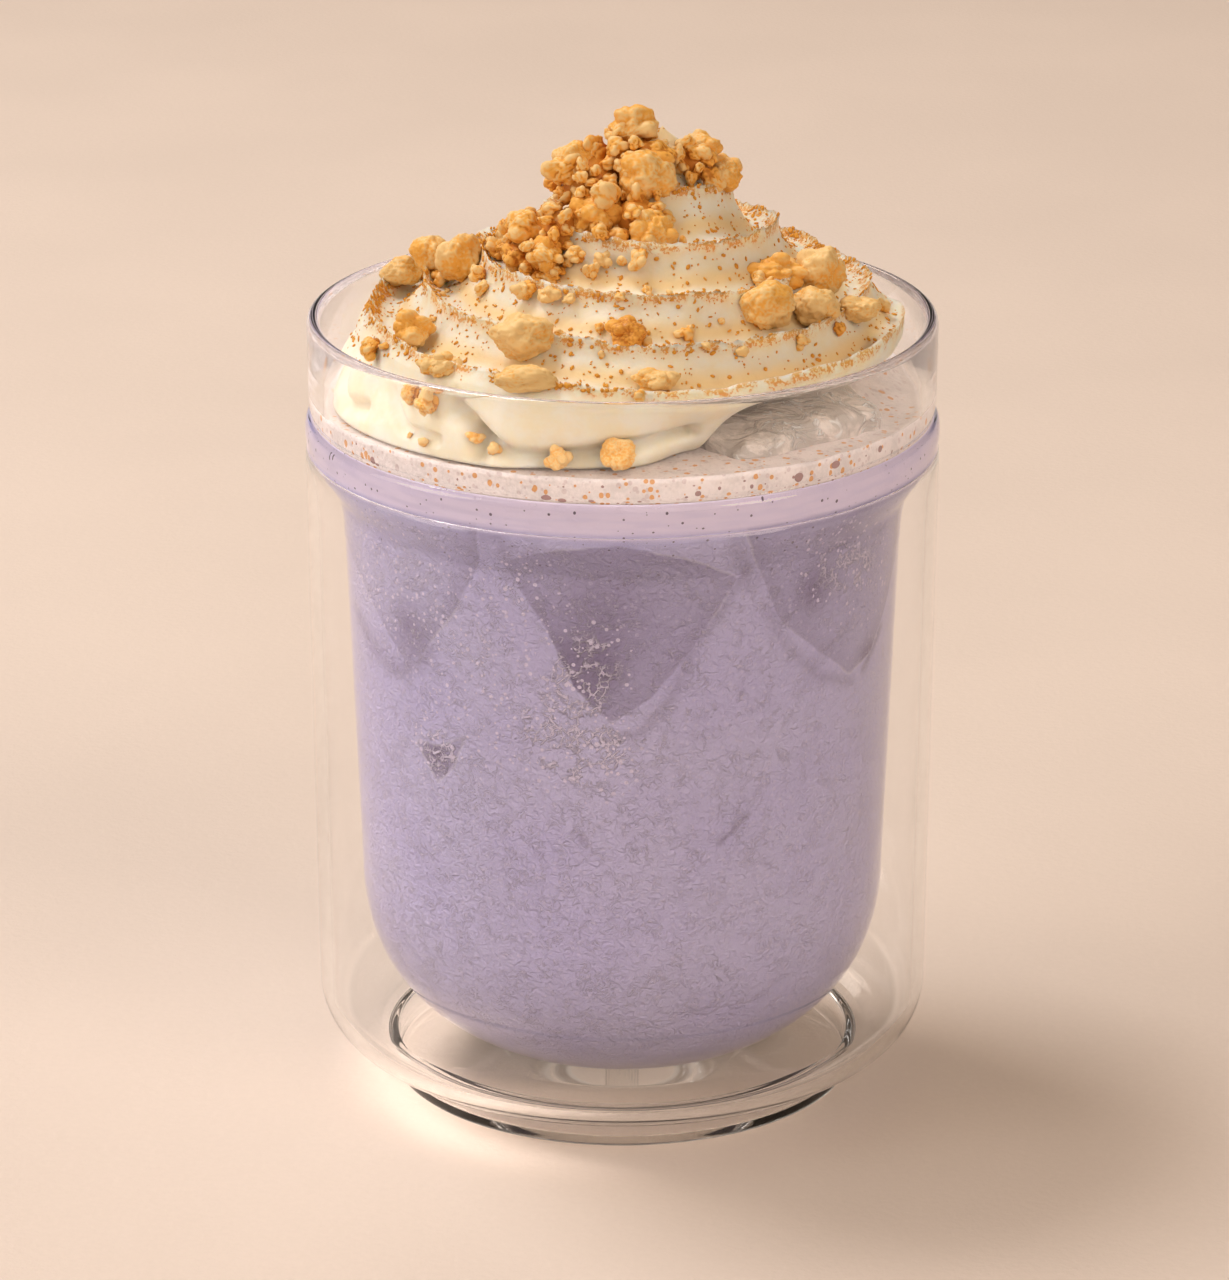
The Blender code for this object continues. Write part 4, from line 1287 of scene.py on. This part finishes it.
def nut_material(name, settings, pale_share, blotch, hollow_darkening):
    """Candied peanut: golden, pale where broken, darker in its hollows and where its tone holds painted
    shade, with a grainy sugar skin.
    """
    material, tree, shader = new_material(name)
    place = object_place(tree)
    value, grain = mottle(tree, blotch, 2600.0, 0.14)
    hollow = read_attribute(tree, "hollow")
    tone = calculate(tree, "ADD", value, product(tree, hollow, hollow_darkening))
    tone = calculate(tree, "ADD", tone, read_attribute(tree, "tone"))
    candied = ranged(tree, tone, 0.30 + 0.1 * pale_share, 0.60)
    body = mixed(tree, candied, solid(settings.pale), solid(settings.golden))
    body = mixed(tree, ranged(tree, tone, 0.60, 0.92), body, solid(settings.caramel_and_painted_shade))
    pits = specks(tree, 1500.0, 0.32, 0.4)
    body = mixed(tree, product(tree, pits, 0.10), body, solid(settings.caramel_and_painted_shade))
    pores = noise_field(tree, place, 1900.0, 2.0, 0.6)
    height = calculate(tree, "SUBTRACT", pores, product(tree, pits, 0.4))
    fill_sockets(tree, shader, {
        "Base Color": body, "Roughness": ranged(tree, grain, 0.3, 0.7, 0.34, 0.55),
        "Specular IOR Level": 0.22, "Normal": bumped(tree, height, 0.00006),
    })
    return material


def cinnamon_material(colour):
    """Ground cinnamon."""
    material, tree, shader = new_material("ground_cinnamon")
    value, grain = mottle(tree, 500.0, 3200.0, 0.4)
    light = solid((1.2 * colour[0], 1.4 * colour[1], 1.6 * colour[2]))
    fill_sockets(tree, shader, {
        "Base Color": mixed(tree, ranged(tree, value, 0.35, 0.65), solid(colour), light), "Roughness": 0.8,
        "Specular IOR Level": 0.2, "Normal": bumped(tree, grain, 0.00004),
    })
    return material


def floor_material(colour):
    """Pale matt table with a faint paper grain."""
    material, tree, shader = new_material("pale_table")
    value, grain = mottle(tree, 14.0, 900.0, 0.35)
    darker = solid(colour, 0.955)
    fill_sockets(tree, shader, {
        "Base Color": mixed(tree, ranged(tree, value, 0.3, 0.7), darker, solid(colour)), "Roughness": 0.75,
        "Specular IOR Level": 0.2, "Normal": bumped(tree, grain, 0.00012),
    })
    return material


# Operators

class BuildOperator:
    """What the build operators share: their steps can be undone."""
    bl_options = {"REGISTER", "UNDO"}


class HORCHATA_OT_glass(BuildOperator, bpy.types.Operator):
    """Build the double-walled glass"""
    bl_idname = "horchata.glass"
    bl_label = "Glass"

    def execute(self, context):
        settings = context.scene.horchata_glass
        mesh = mesh_from(spun(glass_profile(), GLASS_SIDES), "double_walled_glass")
        finish_piece("double_walled_glass", mesh, glass_material(settings.tint), ["glass"])
        plug = frame["nodes"]["vent_plug"]
        plug.data.materials.clear()
        plug.data.materials.append(silicone_material(settings.plug))
        return {"FINISHED"}


class HORCHATA_OT_drink(BuildOperator, bpy.types.Operator):
    """Build the horchata with its sunk ice"""
    bl_idname = "horchata.drink"
    bl_label = "Horchata"

    def execute(self, context):
        settings = context.scene.horchata_drink
        finish_piece("horchata_drink", drink_mesh(), drink_material(settings), ["horchata"])
        return {"FINISHED"}


class HORCHATA_OT_foam(BuildOperator, bpy.types.Operator):
    """Build the foam on the drink and its bubbles"""
    bl_idname = "horchata.foam"
    bl_label = "Foam"

    def execute(self, context):
        settings = context.scene.horchata_drink
        cinnamon = context.scene.horchata_cream.cinnamon
        finish_piece("foam_layer", foam_mesh(), foam_material(settings, cinnamon), ["foam"])
        finish_piece("foam_bubbles", bubble_mesh(), bubble_material(settings.bubble))
        return {"FINISHED"}


class HORCHATA_OT_ice(BuildOperator, bpy.types.Operator):
    """Build the floating ice cube"""
    bl_idname = "horchata.ice"
    bl_label = "Floating ice"

    def execute(self, context):
        settings = context.scene.horchata_drink
        finish_piece("floating_ice", ice_mesh(), ice_material(settings.ice), ["ice_cube"])
        return {"FINISHED"}


class HORCHATA_OT_cream(BuildOperator, bpy.types.Operator):
    """Build the piped swirl of whipped cream"""
    bl_idname = "horchata.cream"
    bl_label = "Whipped cream"

    def execute(self, context):
        settings = context.scene.horchata_cream
        material = cream_material(settings)
        finish_piece("whipped_cream_swirl", cream_mesh(), material, ["whipped_cream"])
        return {"FINISHED"}


def mark_hollows(mesh):
    """Mark how hollow each vertex lies, so that its colour can darken there."""
    bm = bmesh.new()
    bm.from_mesh(mesh)
    bm.normal_update()
    layer = bm.verts.layers.float.new("hollow")
    for vert in bm.verts:
        near = [edge.other_vert(vert).co for edge in vert.link_edges]
        middle = sum(near, Vector()) / len(near)
        size = sum((place - vert.co).length for place in near) / len(near)
        vert[layer] = max(-1.0, min(1.0, 4.0 * (middle - vert.co).dot(vert.normal) / size))
    bm.to_mesh(mesh)
    bm.free()


class HORCHATA_OT_nuggets(BuildOperator, bpy.types.Operator):
    """Build the large candied nuts"""
    bl_idname = "horchata.nuggets"
    bl_label = "Candied nuts"

    def execute(self, context):
        settings = context.scene.horchata_nut
        material = nut_material("candied_nut", settings, 0.5, 170.0, 0.14)
        for number, (place, size) in enumerate(NUGGETS, 1):
            name = f"candied_nut_{number:02d}"
            mesh = nugget_mesh(name, number, Vector(place) * MM, Vector(size) * MM)
            mark_hollows(mesh)
            finish_piece(name, mesh, material, [f"nugget_{number:02d}"])
        return {"FINISHED"}


def camera_place():
    """Where the camera stands."""
    back = Vector((0, -math.cos(CAMERA_PITCH), math.sin(CAMERA_PITCH)))
    return Vector(CAMERA_AIM) + back * CAMERA_FAR


def tree_of(name):
    """Search tree over a finished piece."""
    return BVHTree.FromObject(bpy.data.objects[name], bpy.context.evaluated_depsgraph_get())


def heap_core():
    """Core of the crumble heap, that its grains lie on, painted dark as the shade between them."""
    core = bmesh.new()
    tone = core.verts.layers.float.new("tone")
    for place, radius in HEAP_LUMPS:
        made = bmesh.ops.create_icosphere(core, subdivisions=3, radius=0.72 * radius * MM)
        bmesh.ops.translate(core, vec=Vector(place) * MM, verts=made["verts"])
        for vert in made["verts"]:
            # The core is painted dark as the shade between the grains
            vert[tone] = 0.5
    return core


def heap_places(draw, core, count):
    """Places, sizes and facings of grains spread over the heap's core, clear of the cream and each other."""
    skin = BVHTree.FromBMesh(core)
    under = tree_of("whipped_cream_swirl")
    spots = []
    for _ in range(HEAP_TRIES):
        if len(spots) >= count:
            break
        lump, _ = draw.choice(HEAP_LUMPS)
        way = random_way(draw, (0.0, -0.4, 0.3))
        hit, normal, _, _ = skin.ray_cast(Vector(lump) * MM + way * 20 * MM, -way)
        if hit is None:
            continue
        nearest, outward, _, far = under.find_nearest(hit)
        if (hit - nearest).dot(outward) < 0.2 * MM or far > 9 * MM:
            continue
        hit = hit + normal * draw.uniform(0.2, 1.5) * MM
        size = draw.choice(HEAP_SIZES) * MM
        if all((hit - other).length > 0.42 * (size + near) for other, near, _ in spots):
            spots.append((hit, size, normal))
    return spots


class HORCHATA_OT_crumble(BuildOperator, bpy.types.Operator):
    """Build the heap of fine crumble on the peak"""
    bl_idname = "horchata.crumble"
    bl_label = "Crumble heap"

    def execute(self, context):
        settings = context.scene.horchata_nut
        draw = random.Random(31)
        core = heap_core()
        for number, (place, size, normal) in enumerate(heap_places(draw, core, settings.grains)):
            sides = 4 if size > 3 * MM else 3
            add_lump(core, draw, 500 + number, place, size, sides, normal, HEAP_TONE)
        mesh = mesh_from(core, "crumble_grains")
        mark_hollows(mesh)
        material = nut_material("crumble_nut", settings, 0.3, 320.0, 0.28)
        finish_piece("crumble_grains", mesh, material, ["crumble_heap"])
        return {"FINISHED"}


def scatter_crumbs(bm, draw, cream, count):
    """Drop small crumbs on the cream, two in three of them round a nugget."""
    for number in range(count):
        if number % 3:
            place, _ = draw.choice(NUGGETS[FIRST_ON_CREAM - 1:LAST_ON_CREAM])
            x = place[0] * MM + draw.gauss(0, CRUMB_SPREAD)
            y = place[1] * MM + draw.gauss(0, CRUMB_SPREAD)
            start = Vector((x, y, ABOVE))
        else:
            angle = draw.uniform(0, math.tau)
            start = round_axis(angle, CRUMB_REACH * math.sqrt(draw.random()), ABOVE)
        hit, normal, _, _ = cream.ray_cast(start, DOWN)
        if hit is None or normal.z < 0.35:
            continue
        size = draw.uniform(*CRUMB_SIZES) * MM
        add_lump(bm, draw, 2000 + number, hit + normal * 0.25 * size, size, 2, normal)


def place_grains(bm, draw, cream):
    """Lay the larger loose grains on the cream where they show from the front."""
    eye = camera_place()
    for number, (across, up, size) in enumerate(LOOSE_GRAINS):
        way = (Vector((across, 0, up)) * MM - eye).normalized()
        hit, normal, _, _ = cream.ray_cast(eye, way)
        if hit is not None:
            sides = 4 if size > 2.4 else 3
            add_lump(bm, draw, 3000 + number, hit + normal * 0.3 * size * MM, size * MM, sides, normal)


class HORCHATA_OT_crumbs(BuildOperator, bpy.types.Operator):
    """Scatter loose crumbs over the cream"""
    bl_idname = "horchata.crumbs"
    bl_label = "Loose crumbs"

    def execute(self, context):
        settings = context.scene.horchata_nut
        draw = random.Random(77)
        cream = tree_of("whipped_cream_swirl")
        bm = bmesh.new()
        scatter_crumbs(bm, draw, cream, settings.crumbs)
        place_grains(bm, draw, cream)
        material = nut_material("crumb_nut", settings, 0.8, 420.0, 0.20)
        mesh = mesh_from(bm, "loose_crumbs")
        mark_hollows(mesh)
        finish_piece("loose_crumbs", mesh, material)
        return {"FINISHED"}


def flake_mesh():
    """Small round grain that every flake is stretched from."""
    bm = bmesh.new()
    bmesh.ops.create_icosphere(bm, subdivisions=1, radius=1.0)
    return mesh_from(bm, "flake")


def flake_chance(place, crest):
    """Chance that a flake stays at a place: patchy along the crests, small in the valleys."""
    patchy = noise(place * 170) + 0.5 * noise(place * 60)
    near_crest = max(0.0, (crest - 0.62) / 0.38)
    return 0.04 + near_crest ** 2 * max(0.03, 0.55 + 1.5 * patchy)


def flake_lie(draw, place, normal):
    """Transform that stretches, turns and lays a flake on the cream."""
    size = draw.choice(FLAKE_SIZES) * MM
    lie = normal.to_track_quat("Z", "Y").to_matrix() @ Matrix.Rotation(draw.uniform(0, 6.3), 3, "Z")
    stretch = Matrix.Diagonal((draw.uniform(0.6, 1.5), draw.uniform(0.5, 1.0), 0.4))
    return Matrix.Translation(place + normal * 0.2 * size) @ (lie @ stretch * size).to_4x4()


class HORCHATA_OT_cinnamon(BuildOperator, bpy.types.Operator):
    """Dust the cream with cinnamon"""
    bl_idname = "horchata.cinnamon"
    bl_label = "Cinnamon"

    def execute(self, context):
        settings = context.scene.horchata_cream
        draw = random.Random(5)
        cream = bpy.data.objects["whipped_cream_swirl"].data
        crest = cream.attributes["crest"].data
        skin = tree_of("whipped_cream_swirl")
        flake = flake_mesh()
        bm = bmesh.new()
        made = 0
        for _ in range(settings.flakes * 12):
            if made >= settings.flakes:
                break
            angle = draw.uniform(0, math.tau)
            start = round_axis(angle, FLAKE_REACH * math.sqrt(draw.random()), ABOVE)
            hit, normal, face, _ = skin.ray_cast(start, DOWN)
            if hit is None or normal.z < 0.1 or hit.z < FOAM_TOP + 2 * MM:
                continue
            corner = cream.polygons[face].vertices[0]
            if draw.random() > flake_chance(hit, crest[corner].value):
                continue
            copy = flake.copy()
            copy.transform(flake_lie(draw, hit, normal))
            bm.from_mesh(copy)
            bpy.data.meshes.remove(copy)
            made += 1
        bpy.data.meshes.remove(flake)
        mesh = mesh_from(bm, "cinnamon_dust")
        finish_piece("cinnamon_dust", mesh, cinnamon_material(settings.cinnamon))
        return {"FINISHED"}


def add_light(name, place, size, power, colour):
    """Add a soft area light that points at the glass."""
    data = bpy.data.lights.new(name, "AREA")
    data.shape = "RECTANGLE"
    data.size, data.size_y = size
    data.energy = power
    data.color = colour
    light = bpy.data.objects.new(name, data)
    bpy.context.scene.collection.objects.link(light)
    light.location = place
    light.rotation_euler = (Vector(LIGHT_AIM) - Vector(place)).to_track_quat("-Z", "Y").to_euler()


def add_floor(colour):
    """Add the plain floor just under the glass."""
    bm = bmesh.new()
    bmesh.ops.create_grid(bm, x_segments=8, y_segments=8, size=FLOOR_SIZE)
    bmesh.ops.translate(bm, vec=(0, 0, -FLOOR_GAP), verts=bm.verts)
    floor = bpy.data.objects.new("floor", mesh_from(bm, "floor"))
    floor.data.materials.append(floor_material(colour))
    bpy.context.scene.collection.objects.link(floor)


def add_camera():
    """Add the camera that looks down at the glass from the front."""
    data = bpy.data.cameras.new("camera")
    data.lens = CAMERA_LENS
    data.sensor_width = CAMERA_SENSOR
    camera = bpy.data.objects.new("camera", data)
    camera.location = camera_place()
    camera.rotation_euler = (math.pi / 2 - CAMERA_PITCH, 0, 0)
    bpy.context.scene.collection.objects.link(camera)
    bpy.context.scene.camera = camera


def set_world(strength, seen):
    """Even, warm surroundings; in the glass they look like bright walls with a dark band over them."""
    world = bpy.data.worlds.new("studio")
    world.use_nodes = True
    tree = world.node_tree
    back = tree.nodes["Background"]
    path = add_node(tree, "ShaderNodeLightPath")
    colour = mixed(tree, path.outputs["Is Diffuse Ray"], solid(WALL_COLOUR), solid(WORLD_COLOUR))
    tree.links.new(colour, back.inputs["Color"])
    way = add_node(tree, "ShaderNodeTexCoord").outputs["Generated"]
    up = add_node(tree, "ShaderNodeSeparateXYZ", {0: way}).outputs[2]
    dark = product(tree, ranged(tree, up, 0.02, 0.16), ranged(tree, up, 0.90, 0.78))
    walls = calculate(tree, "MULTIPLY_ADD", dark, -0.9 * seen, seen)
    for facing, edge, glow in WINDOWS:
        facing = Vector(facing).normalized()
        near = add_node(tree, "ShaderNodeVectorMath", {0: way, 1: facing}, operation="DOT_PRODUCT")
        window = ranged(tree, near.outputs["Value"], edge - WINDOW_BLUR, edge + WINDOW_BLUR, 0.0, glow)
        walls = calculate(tree, "ADD", walls, window)
    lit = add_node(tree, "ShaderNodeMix", {0: path.outputs["Is Diffuse Ray"], 2: walls, 3: strength})
    tree.links.new(lit.outputs[0], back.inputs["Strength"])
    bpy.context.scene.world = world


class HORCHATA_OT_stage(BuildOperator, bpy.types.Operator):
    """Build the floor, the lights and the camera"""
    bl_idname = "horchata.stage"
    bl_label = "Stage"

    def execute(self, context):
        settings = context.scene.horchata_studio
        for item in list(bpy.data.objects):
            if item.type in {"LIGHT", "CAMERA"} or item.name == "Cube":
                bpy.data.objects.remove(item, do_unlink=True)
        add_floor(settings.floor)
        add_light("key", KEY_PLACE, KEY_SIZE, settings.key_power, WHITE_LIGHT)
        add_light("side", SIDE_PLACE, SIDE_SIZE, settings.side_power, WHITE_LIGHT)
        add_light("front", FRONT_PLACE, FRONT_SIZE, settings.front_power, WARM_LIGHT)
        set_world(settings.fill, settings.walls)
        add_camera()
        view = context.scene.view_settings
        view.view_transform = "Standard"
        view.look = "None"
        context.scene.cycles.diffuse_bounces = DIFFUSE_BOUNCES
        for kind in ("max_bounces", "transmission_bounces", "glossy_bounces", "transparent_max_bounces"):
            setattr(context.scene.cycles, kind, LIGHT_BOUNCES)
        return {"FINISHED"}


PARTS = (
    HORCHATA_OT_stage, HORCHATA_OT_glass, HORCHATA_OT_drink, HORCHATA_OT_foam, HORCHATA_OT_ice,
    HORCHATA_OT_cream, HORCHATA_OT_nuggets, HORCHATA_OT_crumble, HORCHATA_OT_crumbs, HORCHATA_OT_cinnamon,
)


class HORCHATA_PT_panel(bpy.types.Panel):
    """Build the glass of horchata piece by piece"""
    bl_idname = "HORCHATA_PT_panel"
    bl_label = "Glass of Horchata"
    bl_space_type = "VIEW_3D"
    bl_region_type = "UI"
    bl_category = "Horchata"

    def draw(self, context):
        for part in PARTS:
            self.layout.operator(part.bl_idname)


SETTINGS = {
    "horchata_glass": GlassSettings, "horchata_drink": DrinkSettings, "horchata_cream": CreamSettings,
    "horchata_nut": NutSettings, "horchata_studio": StudioSettings,
}


def register():
    """Register the settings, operators and panel."""
    for name, kind in SETTINGS.items():
        bpy.utils.register_class(kind)
        setattr(bpy.types.Scene, name, bpy.props.PointerProperty(type=kind))
    for part in PARTS:
        bpy.utils.register_class(part)
    bpy.utils.register_class(HORCHATA_PT_panel)


def unregister():
    """Remove the panel, operators and settings."""
    bpy.utils.unregister_class(HORCHATA_PT_panel)
    for part in reversed(PARTS):
        bpy.utils.unregister_class(part)
    for name, kind in reversed(SETTINGS.items()):
        delattr(bpy.types.Scene, name)
        bpy.utils.unregister_class(kind)


def main():
    """Build every piece."""
    register()
    for part in PARTS:
        group, name = part.bl_idname.split(".")
        getattr(getattr(bpy.ops, group), name)()


if __name__ == "__main__":
    main()
